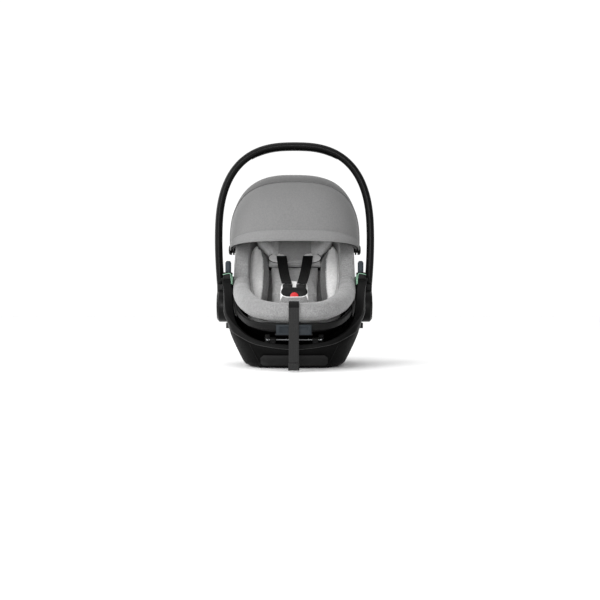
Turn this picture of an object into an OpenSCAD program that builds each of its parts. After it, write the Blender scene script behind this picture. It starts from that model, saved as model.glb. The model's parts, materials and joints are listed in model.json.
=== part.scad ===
// Infant car seat: a carrying shell with a swinging handle, and in it a reclining seat
// with its cushions, harness, sliding headrest and folding canopy.
// X is across the seat, -Y is the foot end, +Y the head end and Z is up.
// The origin is on the floor, under the middle of the whole seat. Millimetres and degrees.

/* [Carrying shell] */
// Half width of the shell at its arms
shell_half_w = 190; // [188:0.5:191]
// Wall thickness of the shell
shell_wall = 5; // [4:0.5:6]
// Height of the shell's front lip
shell_front_z = 61; // [58:1:64]
// Height of the shell's arms
shell_arm_z = 243; // [238:1:246]
// Height of the shell's rear lip
shell_rear_z = 222; // [210:1:225]

/* [Handle] */
// Half width over the handle's legs
handle_half_w = 220; // [219:0.5:222]
// Height of the handle's top
handle_top = 610; // [604:1:612]
// Thickness of the handle's tube across the arch
handle_thick = 22; // [20:1:23]
// Depth of the handle's tube from front to back
handle_depth = 30; // [26:1:34]
// Radius of the round hub at the foot of each leg
hub_r = 45; // [43:0.5:46]

/* [Seat] */
// Half width of the seat's plastic shell
seat_half_w = 156; // [154:0.5:157]
// Width of the padded rim
rim_w = 52; // [48:1:53]
// Height of the padded rim
rim_h = 49; // [45:1:50]
// Thickness of the seat's plastic shell
seat_wall = 4; // [3.5:0.5:4.5]

/* [Canopy] */
// Radius of the canopy over its pivots
canopy_r = 209; // [207:0.5:209]
// Half width of the canopy
canopy_half_w = 186; // [185:0.5:187]
// Angle of the canopy's front edge above the horizontal
canopy_front_angle = 5.3; // [3:0.1:8]
// Angle of the seam between the canopy's two panels
canopy_seam_angle = 64; // [60:1:68]

/* [Harness] */
// Width of the shoulder webbing
webbing_w = 30; // [25:1:32]
// Thickness of the webbing
webbing_t = 2; // [1.6:0.1:2.4]
// Width of the adjuster strap
adjuster_w = 25; // [22:1:26]

/* [Hidden] */
$fn = 48;
X_AXIS = [0, 90, 0];   // turns a cylinder from Z to X

charcoal = [0.11, 0.11, 0.12];
black = [0.05, 0.05, 0.055];
slate = [0.29, 0.32, 0.35];
melange = [0.6, 0.6, 0.6];
pale_melange = [0.78, 0.78, 0.78];
canopy_grey = [0.55, 0.55, 0.55];
steel = [0.7, 0.71, 0.73];
mint = [0.45, 0.72, 0.55];
red = [0.86, 0.1, 0.12];
foam_white = [0.9, 0.9, 0.9];

// ---- Curves and lofts ----

function signed_pow(v, e) = sign(v) * pow(abs(v), e);
function clamp01(v) = max(0, min(1, v));
function smooth01(v) = let (t = clamp01(v)) t * t * (3 - 2 * t);

// The stretch of a table of [x, value] rows that x lies in
function stretch_of(x, t, i = 0) = i >= len(t) - 2 || x < t[i + 1][0] ? i : stretch_of(x, t, i + 1);
function slope_at(t, i) =
    let (a = t[max(0, i - 1)], b = t[min(len(t) - 1, i + 1)]) (b[1] - a[1]) / (b[0] - a[0]);
// A smooth curve through a table's rows
function curve(x, t) =
    let (
        i = stretch_of(x, t), a = t[i], b = t[i + 1], h = b[0] - a[0], u = clamp01((x - a[0]) / h),
        u2 = u * u, u3 = u2 * u
    )
    (2 * u3 - 3 * u2 + 1) * a[1] + (u3 - 2 * u2 + u) * h * slope_at(t, i)
    + (3 * u2 - 2 * u3) * b[1] + (u3 - u2) * h * slope_at(t, i + 1);

// A rounded plan outline: angle 0 is the foot end, 90 is +X, 180 is the head end
function plan(angle, half_w, front, rear, middle, power) =
    let (c = cos(angle))
    [half_w * signed_pow(sin(angle), 2 / power),
     middle - (c > 0 ? front : rear) * signed_pow(c, 2 / power)];

function mean(ring) = [for (k = [0:2]) let (v = [for (p = ring) p[k]]) v * [for (p = ring) 1] / len(ring)];
function reverse(list) = [for (i = [len(list) - 1:-1:0]) list[i]];

// The two triangles of the square a, b, c, d
function square_of(a, b, c, d) = [[a, b, c], [a, c, d]];
function loft_sides(n, m) = [for (i = [0:n - 2], j = [0:m - 1]) let (k = (j + 1) % m)
    each square_of(i * m + j, (i + 1) * m + j, (i + 1) * m + k, i * m + k)];

// A closed solid through rings of equally many points, which run anticlockwise about the way it goes
module loft(rings) {
    n = len(rings);
    m = len(rings[0]);
    last = (n - 1) * m;
    polyhedron(
        points = [for (r = rings, p = r) p, mean(rings[0]), mean(rings[n - 1])],
        faces = [each loft_sides(n, m),
                 for (j = [0:m - 1]) [n * m, j, (j + 1) % m],
                 for (j = [0:m - 1]) [n * m + 1, last + (j + 1) % m, last + j]],
        convexity = 6);
}

// The same for a thin sheet, whose rings run out along one face and back along the other
module sheet_loft(rings) {
    n = len(rings);
    m = len(rings[0]);
    last = (n - 1) * m;
    polyhedron(
        points = [for (r = rings, p = r) p],
        faces = [each loft_sides(n, m),
                 for (j = [0:m / 2 - 2]) each square_of(j, j + 1, m - 2 - j, m - 1 - j),
                 for (j = [0:m / 2 - 2]) each square_of(last + m - 1 - j, last + m - 2 - j, last + j + 1, last + j)],
        convexity = 6);
}

module right_and_left() {
    children();
    mirror([1, 0, 0]) children();
}

// A block given by its lowest and highest corners
module block(low, high) translate(low) cube(high - low);

// A block with rounded upright edges
module rounded_block(low, high, r) {
    size = high - low;
    translate([low.x + r, low.y + r, low.z]) linear_extrude(size.z) offset(r = r, $fn = 24)
        square([size.x - 2 * r, size.y - 2 * r]);
}

// An outline in Y and Z, drawn along X from x0 to x1
module across(x0, x1) translate([x0, 0, 0]) rotate([90, 0, 90]) linear_extrude(x1 - x0) children();

// ---- Carrying shell ----

SHELL_AROUND = 48;
shell_floor = 3;          // height of the shell's underside above the floor it stands on
shell_middle = -20;       // where the shell's outline is widest, along Y
shell_power = 3.3;
lip_side = 7;            // how far the lip's bevel runs in at the sides, and at the front below
lip_front = 9;

shell_half_w_at = [[0, 116], [6, 128], [14, 137], [46, 153], [80, 168], [101, 174], [130, 176], [205, 177.5],
                   [shell_arm_z, shell_half_w]];
shell_front_at = [[0, 166], [6, 175], [18, 183], [60, 207], [101, 214], [shell_arm_z, 216]];
shell_rear_at = [[0, 162], [8, 176], [18, 186], [60, 214], [120, 240], [shell_arm_z, 278]];

function fold180(angle) = angle > 180 ? 360 - angle : angle;
lip_top_at = [[0, shell_front_z], [22, shell_front_z + 10], [43, shell_front_z + 32], [65, shell_arm_z - 112],
              [78, shell_arm_z - 52], [87, shell_arm_z - 10], [95, shell_arm_z], [110, shell_arm_z]];
function lip_top_z(angle) =
    let (a = fold180(angle))
    a < 95 ? curve(a, lip_top_at)
           : shell_rear_z + (shell_arm_z - shell_rear_z) * (1 - smooth01((a - 95) / 85));
function lip_low_z(angle) = lip_top_z(angle) - 12 - 34 * pow(abs(sin(angle)), 1.5);

function shell_point(angle, z, inset, lift = 0) =
    let (xy = plan(angle, curve(z, shell_half_w_at) - inset, curve(z, shell_front_at) - inset,
                   curve(z, shell_rear_at) - inset, shell_middle, shell_power))
    [xy.x, xy.y, z + lift];
function shell_ring(f) = [for (j = [0:SHELL_AROUND - 1]) let (a = j * 360 / SHELL_AROUND) f(a)];
function lip_inset(a) = lip_front + (lip_side - lip_front) * pow(sin(a), 2);
shell_levels = [0, 0.06, 0.16, 0.35, 0.65, 1];

module base_shell() {
    outer = [for (t = shell_levels) shell_ring(function(a) let (z = t * lip_low_z(a))
        shell_point(a, z, 0, shell_floor * (1 - t)))];
    lip = [shell_ring(function(a) shell_point(a, lip_top_z(a), lip_inset(a))),
           shell_ring(function(a) shell_point(a, lip_top_z(a), lip_inset(a) + shell_wall))];
    inner = [for (t = reverse(shell_levels)) shell_ring(function(a) let (z = t * (lip_low_z(a) - shell_wall))
        shell_point(a, z, shell_wall, (shell_floor + shell_wall) * (1 - t) + t))];
    color(charcoal) difference() {
        union() {
            loft(concat(outer, lip, inner));
            right_and_left() translate([hub_inner_x - 14, hub_y, hub_z]) rotate(X_AXIS) cylinder(h = 14, r = 34);
            right_and_left() block([hook_x0, guide_y0, 200], [hook_x1, guide_y1, guide_z0]);
        }
        right_and_left() block([hook_x0 - 4, guide_y0 - 0.2, guide_z0], [hook_x1 + 4, guide_y1 + 0.2, 260]);
        for (y = [lock_front_y, lock_rear_y])
            block([-lock_slot_w / 2, y - lock_slot_l / 2, -1], [lock_slot_w / 2, y + lock_slot_l / 2, 20]);
    }
}

// Skid pads under the shell
pad_x = 78;
pad_y = 120;
pad_l = 70;
pad_w = 26;
module skid_pads() color(black)
    for (sx = [-1, 1], sy = [-1, 1])
        rounded_block([sx * pad_x - pad_w / 2, sy * pad_y - pad_l / 2 + pads_middle, 0],
                      [sx * pad_x + pad_w / 2, sy * pad_y + pad_l / 2 + pads_middle, shell_floor], 8);
pads_middle = -18;

// Steel bars that latch the shell into a vehicle base, seen through slots in its floor
lock_front_y = -95;
lock_rear_y = 60;
lock_slot_w = 110;
lock_slot_l = 34;
lock_bar_r = 5;
lock_bar_z = 17;
module lock_bars() color(steel)
    for (y = [lock_front_y, lock_rear_y]) {
        translate([-60, y, lock_bar_z]) rotate(X_AXIS) cylinder(h = 120, r = lock_bar_r);
        right_and_left() block([56, y - 9, shell_floor + shell_wall], [62, y + 9, lock_bar_z + 8]);
    }

// Cover over the front of the shell, with clipped upper corners
front_cover_half_w = 86;
module front_cover() color(charcoal)
    intersection() {
        sheet_loft([for (a = [-40:8:40]) front_cover_ring(a)]);
        translate([0, -100, 0]) rotate([90, 0, 0]) linear_extrude(120) polygon([
            [-80, 7], [80, 7], [front_cover_half_w, 13], [front_cover_half_w, 27], [78, 34],
            [-78, 34], [-front_cover_half_w, 27], [-front_cover_half_w, 13]]);
    }
function front_cover_ring(a) =
    let (heights = [for (z = [6:6:36]) z], skin = function(z, out) shell_point(a, z, -out))
    concat([for (z = reverse(heights)) skin(z, 4.5)], [for (z = heights) skin(z, 0.8)]);

// Recline rails: ribs on the shell's floor whose tops are an arc about the recline axis
recline_y = 20;
recline_z = 430;
rail_r = 376;
rail_x = 70;
module recline_rails() color(black) right_and_left()
    difference() {
        block([rail_x - 7, -130, shell_floor + shell_wall + 0.2], [rail_x + 7, 130, 110]);
        translate([0, recline_y, recline_z]) rotate(X_AXIS) cylinder(h = 200, r = rail_r, $fn = 180);
    }

// Steel rod behind the shell's front lip, in two clamps
rod_y = -206;
rod_z = 74;
rod_half = 66;
rod_r = 3;
module recline_rod() color(steel) {
    translate([-rod_half, rod_y, rod_z]) rotate(X_AXIS) cylinder(h = 2 * rod_half, r = rod_r);
    for (s = [-1, 1]) translate([s * (rod_half + 2), rod_y, rod_z]) sphere(r = 5, $fn = 32);
}
module rod_clamps() color(black) right_and_left() difference() {
    union() {
        translate([46, rod_y, rod_z]) rotate(X_AXIS) cylinder(h = 16, r = 6.5);
        block([48, rod_y - 5, 38], [60, rod_y + 5, rod_z]);
    }
    translate([40, rod_y, rod_z]) rotate(X_AXIS) cylinder(h = 30, r = rod_r + 0.03);
}

// Vehicle belt guides on the shell's arms: a black hook with a coloured liner
hook_x0 = 167;
hook_x1 = 190;
guide_y0 = -70;
guide_y1 = -24;
guide_z0 = 231;
slot_z0 = 235;
slot_z1 = 244;
guide_z1 = 249;
liner_t = 1.6;
module guide_housing() color(black) difference() {
    rounded_block([hook_x0, guide_y0, guide_z0], [hook_x1, guide_y1, guide_z1], 4);
    block([hook_x0 - 1, guide_y0 + 7, slot_z0], [hook_x1 + 1, guide_y1 + 1, slot_z1]);
}
module belt_guide() color(mint) difference() {
    union() {
        block([hook_x0, guide_y0 + 7, slot_z0], [hook_x1, guide_y1, slot_z1]);
        block([hook_x0 - liner_t, guide_y0 + 3, 216], [hook_x0, guide_y1, slot_z1 - 1]);
    }
    block([hook_x0 - 3, guide_y0 + 7 + liner_t, slot_z0 + liner_t], [hook_x1 + 1, guide_y1 + 1, slot_z1 - liner_t]);
}

// Release tabs that stand on the guides and slide up
tab_x = 178;
tab_y = -46;
tab_top = 278;
module release_tab() color(slate) hull() {
    rounded_block([tab_x - 7.5, tab_y - 12, guide_z1 + 0.3], [tab_x + 7.5, tab_y + 12, tab_top - 3], 5);
    rounded_block([tab_x - 4.5, tab_y - 9, tab_top], [tab_x + 4.5, tab_y + 9, tab_top + 2], 4);
}

// Sockets under the hubs for a pushchair's adapters
socket_y = 20;
socket_x0 = 167;
socket_x1 = 187;
socket_z0 = 98;
socket_z1 = 113;
module adapter_socket() color(black) difference() {
    rounded_block([socket_x0, socket_y - 26, socket_z0], [socket_x1, socket_y + 26, socket_z1], 5);
    rounded_block([socket_x0 + 7, socket_y - 18, socket_z0 - 1], [socket_x1 - 4, socket_y + 18, socket_z1 - 4], 2);
}

// ---- Handle and its hubs ----

hub_y = 20;
hub_z = 160;
hub_inner_x = 177;        // face of the shell's boss
cup_x0 = 178;
web_x0 = 194;             // the wall that runs on the pivot bolt
web_x1 = 198;
hub_outer_x = 212;
bolt_r = 6;
run_clearance = 0.06;
button_r = 20;
gear_teeth = 24;
gear_r = 27;
gear_depth = 2.5;

module along_x(x0, x1, r) translate([x0, hub_y, hub_z]) rotate(X_AXIS) cylinder(h = x1 - x0, r = r);
// A toothed outline, as a list of points
function gear_outline(r) = [for (i = [0:4 * gear_teeth - 1])
    let (a = i * 90 / gear_teeth, q = i % 4, rr = q < 2 ? r : r - gear_depth) [rr * cos(a), rr * sin(a)]];
module gear(x0, x1, r, bore) translate([x0, hub_y, hub_z]) rotate(X_AXIS) difference() {
    linear_extrude(x1 - x0) polygon(gear_outline(r));
    translate([0, 0, -1]) cylinder(h = x1 - x0 + 2, r = bore);
}

module hub_core() color(black) gear(hub_inner_x, 185, gear_r, bolt_r + 0.02);
module pivot_bolts() color(steel) right_and_left() {
    along_x(hub_inner_x + 0.4, 198.3, bolt_r);
    along_x(198.3, 202, 10);
}
module lock_gear() color(steel) gear(188.5, 193, gear_r, bolt_r + 2);
module button_springs() color(steel) right_and_left() difference() {
    along_x(198.4, 202.6, 17);
    along_x(198, 203, 13.5);
}
module handle_button() color(black) difference() {
    along_x(206, 213.5, button_r);
    along_x(205, 209, button_r - 4);
}
module hub_housing() color(charcoal) difference() {
    union() {
        along_x(cup_x0, 206, hub_r);
        translate([206, hub_y, hub_z]) rotate(X_AXIS) cylinder(h = hub_outer_x - 206, r1 = hub_r, r2 = hub_r - 7);
        hull() {
            block([193, hub_y - 15, hub_z + 20], [hub_outer_x - 1, hub_y + 15, hub_z + 21]);
            block([leg_foot_x - 11, hub_y - 15, leg_foot_z - 2], [leg_foot_x + 9, hub_y + 15, leg_foot_z]);
        }
    }
    along_x(cup_x0 - 1, web_x0, 33);
    along_x(cup_x0 - 1, hub_outer_x + 1, bolt_r + run_clearance);
    along_x(web_x1, hub_outer_x + 1, button_r + 0.5);
}

leg_foot_x = 203;
leg_foot_z = 218;
arch_z = 340;             // height where the arch is widest
arch_power = 2.62;
arch_half_w = handle_half_w - handle_thick / 2;
arch_rise = handle_top - handle_thick / 2 - arch_z;
// The handle's middle line from the right leg over the top to the left leg, in X and Z
function arch_point(a) = [arch_half_w * signed_pow(cos(a), 2 / arch_power),
                          arch_z + arch_rise * signed_pow(sin(a), 2 / arch_power)];
handle_line = concat(
    [for (t = [0, 0.33, 0.66]) [leg_foot_x + (arch_half_w - leg_foot_x) * sin(90 * t),
                               leg_foot_z + (arch_z - leg_foot_z) * t]],
    [for (a = [0:6:180]) arch_point(a)],
    [for (t = [0.66, 0.33, 0]) [-leg_foot_x - (arch_half_w - leg_foot_x) * sin(90 * t),
                               leg_foot_z + (arch_z - leg_foot_z) * t]]
);
function line_normal(line, i) =
    let (a = line[max(0, i - 1)], b = line[min(len(line) - 1, i + 1)], d = b - a, n = norm(d)) [-d.y / n, d.x / n];
// A ring about the handle's line: half is the half thickness in the arch's plane
function handle_ring(line, i, half, depth, shift = 0) =
    let (n = line_normal(line, i), p = line[i])
    [for (k = [0:11]) let (u = half * cos(30 * k) + shift, v = depth / 2 * sin(30 * k))
        [p.x + n.x * u, hub_y - v, p.y + n.y * u]];
module handle_tube() color(charcoal)
    loft([for (i = [0:len(handle_line) - 1]) handle_ring(handle_line, i, handle_thick / 2, handle_depth)]);

grip_angle = 30;          // half of the arch's angle that the grip covers
grip_line = [for (a = [90 - grip_angle:3:90 + grip_angle]) arch_point(a)];
module handle_grip() color(black)
    loft([for (i = [0:len(grip_line) - 1])
        let (n = line_normal(grip_line, i), p = grip_line[i], taper = sin(180 * i / (len(grip_line) - 1)),
             low = handle_thick / 2 + 0.3, high = low + 0.6 + 1.2 * min(1, 3 * taper))
        [for (c = [[low, -9], [low, 9], [high, 7], [high, -7]])
            [p.x + n.x * c.x, hub_y - c.y, p.y + n.y * c.x]]]);

// ---- Seat ----

SEAT_AROUND = 48;
seat_front = 328;
seat_rear = 295;
seat_power = 2.6;         // how boxy the seat's plan is at the foot end, and at the head end below
seat_head_power = 3.4;
bowl_power = 2.6;         // how boxy the seat's cross-section is
liner_power = 5;
rim_front = 309.5;          // from the middle to the padded rim's middle line, at the foot
rim_half_w = seat_half_w + 10.4 - rim_w / 2;

// Height of the padded rim's middle line, by Y
rim_line_z = [[-309.5, 144.5], [-269, 153], [-220, 166], [-126, 189], [-60, 203], [-20, 209]];
// Height of the seat shell's edge, by Y
seat_edge_z = [[-328, 117], [-284, 123], [-232, 137], [-133, 162], [-70, 178], [-44, 204], [-8, 280],
               [40, 336], [100, 369], [180, 386], [240, 381], [295, 358]];
// Height of the seat shell's underside down its middle, by Y
seat_keel_z = [[-328, 90], [-280, 86], [-230, 88], [-180, 90], [-140, 86], [-90, 74], [-40, 64],
               [10, 60], [50, 68], [85, 94], [130, 138], [200, 214], [260, 278], [295, 315]];
// Height of the foam liner's inside down its middle, by Y
liner_keel_z = [[-288, 128], [-240, 114], [-150, 103], [-40, 98], [20, 98], [52, 112], [85, 152],
                [120, 190], [200, 275], [272, 351]];

// A point on a bowl. angle goes round it, and r goes from 0 on the keel to 1 at the edge.
// size is the half width, the reach to the foot end and the reach to the head end, and head_power
// is how boxy the plan is at the head end.
function bowl_point(angle, r, size, head_power, keel, edge_drop, power) =
    let (
        edge_y = plan(angle, seat_half_w, seat_front, seat_rear, 0, seat_power).y,
        xy = plan(angle, size.x * r, size.y * r, size.z * r, 0, cos(angle) > 0 ? seat_power : head_power),
        low = curve(xy.y, keel), rise = 1 - pow(1 - pow(r, power), 1 / power)
    )
    [xy.x, xy.y, low + (curve(edge_y, seat_edge_z) - edge_drop - low) * rise];
function bowl_rings(levels, size, head_power, keel, edge_drop, power) =
    [for (r = levels) [for (j = [0:SEAT_AROUND - 1])
        bowl_point(j * 360 / SEAT_AROUND, r, size, head_power, keel, edge_drop, power)]];
function lifted(table, by) = [for (row = table) [row[0], row[1] + by]];
// The seat shell's size, drawn in by an inset all round
function seat_size(inset) = [seat_half_w - inset, seat_front - inset, seat_rear - inset];
bowl_levels = [0.04, 0.2, 0.36, 0.52, 0.66, 0.78, 0.88, 0.95, 0.99, 1];

module seat_shell() color(black) union() {
    loft(concat(
        bowl_rings(bowl_levels, seat_size(0), seat_head_power, seat_keel_z, 0, bowl_power),
        bowl_rings(reverse(bowl_levels), seat_size(seat_wall), seat_head_power, lifted(seat_keel_z, seat_wall), 0,
                   bowl_power)));
    block([-lever_half_w - 3, lever_y1 + 0.8, 89], [lever_half_w + 3, -282, 93]);
}

liner_size = [126, 288, 272];
liner_head_power = 5;
module foam_liner() color(foam_white) loft(concat(
    bowl_rings(bowl_levels, seat_size(seat_wall + 2), seat_head_power, lifted(seat_keel_z, seat_wall + 2), 1.5,
               bowl_power),
    bowl_rings(reverse(bowl_levels), liner_size, liner_head_power, liner_keel_z, 1.5, liner_power)));

// Runners under the seat shell that slide on the shell's rails
shoe_r = rail_r - 0.4;
module recline_shoes() color(black) right_and_left()
    translate([rail_x - 6, recline_y, recline_z]) rotate(X_AXIS) rotate([0, 0, -16])
        rotate_extrude(angle = 32, $fn = 180) translate([shoe_r - 12, 0]) square([12, 12]);

// Band of trim round the foot end under the padded rim
function trim_ring(a) =
    let (at = function(drop, out)
        let (p = plan(a, seat_half_w + out, seat_front + out, seat_rear, 0, seat_power))
        [p.x, p.y, curve(p.y, seat_edge_z) - drop])
    [at(1, 5), at(8, 4.5), at(15, 3), at(15, 1.5), at(8, 2.5), at(1, 2.5)];
module front_trim() color(charcoal) sheet_loft([for (a = [-66:6:66]) trim_ring(a)]);

// Lever under the foot end that frees the recline
lever_half_w = 43;
lever_y0 = -338;
lever_y1 = -334.3;
lever_z0 = 90;
lever_z1 = 115;
module recline_lever() color(slate) difference() {
    across(-lever_half_w, lever_half_w) offset(r = 1.2, $fn = 16) offset(delta = -1.2)
        polygon([[lever_y0, lever_z0], [lever_y1, lever_z0], [lever_y1, lever_z1], [lever_y0, lever_z1]]);
    block([-34, lever_y0 - 1, lever_z0 + 5], [34, lever_y0 + 1, lever_z1 - 5]);
}

// Padded rim round the foot end and up to the wings
RIM_AROUND = 14;
RIM_STEPS = 30;
rim_sweep = 81.5;
function rim_line(a) =
    let (xy = plan(a, rim_half_w, rim_front, rim_front, 0, 2.5)) [xy.x, xy.y, curve(xy.y, rim_line_z)];
function rim_section(a, scale) =
    let (p = rim_line(a), q = rim_line(a + 1) - rim_line(a - 1), d = [q.x, q.y] / norm([q.x, q.y]),
         out = [d.y, -d.x])
    [for (k = [0:RIM_AROUND - 1]) let (t = k * 360 / RIM_AROUND, u = rim_w / 2 * scale * signed_pow(cos(t), 0.8),
                                       v = rim_h / 2 * scale * signed_pow(sin(t), 0.8))
        [p.x + out.x * u, p.y + out.y * u, p.z + v]];
module padded_rim() color(melange)
    loft([for (i = [RIM_STEPS:-1:0]) let (a = rim_sweep * (2 * i / RIM_STEPS - 1), tip = i == 0 || i == RIM_STEPS)
        rim_section(a, tip ? 0.8 : 1)]);

// Fabric on the outside of each wing
cover_levels = [0.8, 0.87, 0.93, 0.97, 1];
function side_cover_ring(a) =
    let (at = function(r, out) bowl_point(a, r, [seat_half_w + out, seat_front, seat_rear + out], seat_head_power,
                                           lifted(seat_keel_z, -out), 0, bowl_power))
    concat([for (r = cover_levels) at(r, 5)], [for (r = reverse(cover_levels)) at(r, 1.5)]);
module side_cover() color(melange) sheet_loft([for (a = [94:6:154]) side_cover_ring(a)]);

// ---- Cushions in the seat ----

// The backrest's middle line: along runs up the back and off stands out from it
back_y = 32;
back_z = 98;
back_angle = 46.5;
function on_back(along, off) = [back_y + along * cos(back_angle) - off * sin(back_angle),
                                back_z + along * sin(back_angle) + off * cos(back_angle)];

module infant_insert() color(melange)
    across(-66, 66) offset(r = 5, $fn = 20) offset(delta = -5) polygon([
        [-190, 122], [on_back(4, 16).x, 116], on_back(197, 16), on_back(197, 40), [22, 142], [-190, 142]]);

module bolster() color(pale_melange)
    across(77.5, 116.5) offset(r = 12, $fn = 24) offset(delta = -12) polygon([
        on_back(22, 48), on_back(60, 42), on_back(236, 42), on_back(236, 60), on_back(218, 84), on_back(24, 90)]);

head_low = 200;
head_high = 325;
module headrest_pad() color(melange) {
    difference() {
        across(-77, 77) offset(r = 6, $fn = 20) offset(delta = -6) polygon([
            on_back(head_low, 26), on_back(head_high, 26), on_back(head_high, 46), on_back(head_low, 46)]);
        across(-10, 10) polygon([on_back(head_low - 1, 20), on_back(head_low + 9, 20), on_back(head_low + 9, 50),
                                 on_back(head_low - 1, 50)]);
    }
    right_and_left() across(76, 105) offset(r = 7, $fn = 20) offset(delta = -7) polygon([
        on_back(252, 36), on_back(320, 36), on_back(320, 60), on_back(306, 80), on_back(268, 80), on_back(252, 66)]);
}
module headrest_shell() color(black)
    across(-74, 74) polygon([on_back(head_low + 5, 18), on_back(head_high + 6, 18), on_back(head_high + 6, 25.5),
                             on_back(head_low + 5, 25.5)]);

// Oval surrounds where the shoulder straps leave the headrest
guide_x = 43;
guide_along = 220;
module strap_guides() color(pale_melange)
    for (s = [-1, 1]) {
        p = on_back(guide_along, 46.3);
        translate([s * guide_x, p.x, p.y]) rotate([back_angle, 0, 0]) linear_extrude(4) difference() {
            scale([1, 0.42]) circle(r = 31);
            translate([-17, 5]) square([34, 3]);
        }
    }

module headrest_lever() color(slate)
    across(-30, 30) polygon([on_back(head_high + 7, 16), on_back(head_high + 16, 16), on_back(head_high + 16, 24),
                             on_back(head_high + 7, 24)]);

// ---- Harness ----

buckle_y = -118;
buckle_z = 143;           // where the crotch strap leaves the seat cushion
buckle_tilt = -14;
red_button_z = 40;        // the red button's middle, up from buckle_z
red_button_r = 11;
module at_buckle() translate([0, buckle_y, buckle_z]) rotate([buckle_tilt, 0, 0]) children();

module crotch_strap() color(black) at_buckle() block([-15, -1, -14], [15, 1, 24.5]);
module buckle_body() color(black) at_buckle() difference() {
    hull() {
        translate([0, -9, 25]) rounded_block([-24, 0, 0], [24, 18, 4], 4);
        translate([0, -10, 42]) rounded_block([-35, 0, 0], [35, 20, 14], 5);
        translate([0, -7, 62]) rounded_block([-30, 0, 0], [30, 14, 4], 4);
    }
    translate([0, -4, red_button_z]) rotate([90, 0, 0]) cylinder(h = 10, r = red_button_r + 0.3);
}
module buckle_button() color(red) at_buckle()
    translate([0, -7, red_button_z]) rotate([90, 0, 0]) cylinder(h = 6.5, r = red_button_r);
module buckle_tongues() color(black) at_buckle() right_and_left()
    block([5, -2, 66.4], [31, 2, 76]);
module crotch_pad() color(melange) at_buckle() difference() {
    union() {
        across(-36, 36) offset(r = 3, $fn = 16) offset(delta = -3)
            polygon([[-24, -5], [20, 6], [20, 60], [12, 60], [12, 12], [-14, 12], [-14, 40], [-24, 40]]);
        translate([0, 20, 55]) rotate([90, 0, 0]) scale([1, 0.75, 1]) cylinder(h = 8, r = 36);
    }
    block([-16.5, -2.5, -2], [16.5, 2.5, 14]);
    block([-40, -13.9, 12], [40, 11.9, 58]);
}

// Middle line of a shoulder strap, in X, Y and Z, with a little sag
strap_top = [38, 149, 297];
strap_foot = [19, -100, 219];
strap_sag = 10;
STRAP_STEPS = 10;
function strap_point(t) = strap_top + (strap_foot - strap_top) * t - [0, 0, strap_sag * 4 * t * (1 - t)];
// A flat section across X about a point, square to a direction in Y and Z
function flat_section(p, d, w, t) =
    let (n = [-d.z, d.y] / norm([d.y, d.z]))
    [for (c = [[-1, -0.4], [-0.94, -1], [0.94, -1], [1, -0.4], [1, 0.4], [0.94, 1], [-0.94, 1], [-1, 0.4]])
        [p.x + c.x * w / 2, p.y + n.x * c.y * t / 2, p.z + n.y * c.y * t / 2]];
function flat_rings(line, w, t) = [for (i = [0:len(line) - 1])
    flat_section(line[i], line[min(len(line) - 1, i + 1)] - line[max(0, i - 1)], w, t)];
module shoulder_strap() color(black)
    loft(flat_rings([for (i = [0:STRAP_STEPS]) strap_point(i / STRAP_STEPS)], webbing_w, webbing_t));

// Adjuster in the foot end, its button, and the free strap that hangs over the rim
module adjuster_housing() color(black) difference() {
    rounded_block([-20, -279, 118], [20, -243, 150], 4);
    block([-13, -270, 143], [13, -248, 151]);
}
module adjuster_button() color(slate) block([-12.5, -269.5, 147], [12.5, -248.5, 153]);
// The strap's route: out of the adjuster, over the rim and straight down
adjuster_route = [
    [0, -281, 145], [0, -281.3, 151], [0, -282.6, 158], [0, -287, 164.5], [0, -294.5, 168.8],
    [0, -303, 170.6], [0, -312, 171], [0, -320, 170], [0, -328.5, 166.5], [0, -335.5, 160.5],
    [0, -339.7, 153], [0, -341.5, 144], [0, -342, 135], [0, -342, 120], [0, -342, 100], [0, -342, 80], [0, -342, 60],
    [0, -342, 40], [0, -342, 22]
];
module adjuster_strap() color(black) loft(flat_rings(adjuster_route, adjuster_w, webbing_t));
module strap_end() color(black)
    rounded_block([-adjuster_w / 2 - 1, -344.5, 4], [adjuster_w / 2 + 1, -339.5, 21.8], 1.5);

// Metal yoke behind the seat shell that joins the two shoulder straps to the adjuster strap
module harness_yoke() color(steel) difference() {
    across(-32, 32) polygon([[128, 128], [146, 148], [143.8, 150], [125.8, 130]]);
    for (x = [-30, 4]) across(x, x + 26) polygon([[138, 136], [144, 143], [136, 148], [131, 142]]);
}

// ---- Canopy ----

canopy_y = 126;
canopy_z = 315;
canopy_dome = 14;
arch_n = 2.65;
arch_turns = [1.5, 3, for (t = [6:6:174]) t, 177, 178.5];
// A point of the canopy: t goes over the arch from 0 to 180, fold from the front to the back
function canopy_point(t, fold, r, half_w) =
    let (h = r * pow(sin(t), 2 / arch_n))
    [half_w * signed_pow(cos(t), 2 / arch_n), canopy_y - h * cos(fold), canopy_z + h * sin(fold)];
panel_t = 2.8;
// How much further out the canopy's back stands, halfway between the seam and its rear edge
function domed(f, dome) = dome * pow(clamp01(sin((f - canopy_seam_angle) * 180 / (176 - canopy_seam_angle))), 0.8);
function panel_ring(t, folds, r, half_w, dome) = concat(
    [for (f = folds) canopy_point(t, f, r + domed(f, dome), half_w)],
    [for (f = reverse(folds)) canopy_point(t, f, r + domed(f, dome) - panel_t, half_w - panel_t)]);
module panel(fold0, fold1, steps, r, half_w, dome = 0)
    sheet_loft([for (t = arch_turns)
        panel_ring(t, [for (k = [0:steps]) fold0 + (fold1 - fold0) * k / steps], r, half_w, dome)]);
module canopy_rear_panel() color(canopy_grey)
    panel(canopy_seam_angle - 2, 176, 18, canopy_r, canopy_half_w, canopy_dome);
module canopy_front_panel() color(canopy_grey)
    panel(canopy_front_angle, canopy_seam_angle, 9, canopy_r - 8, canopy_half_w - 7.4);

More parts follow.
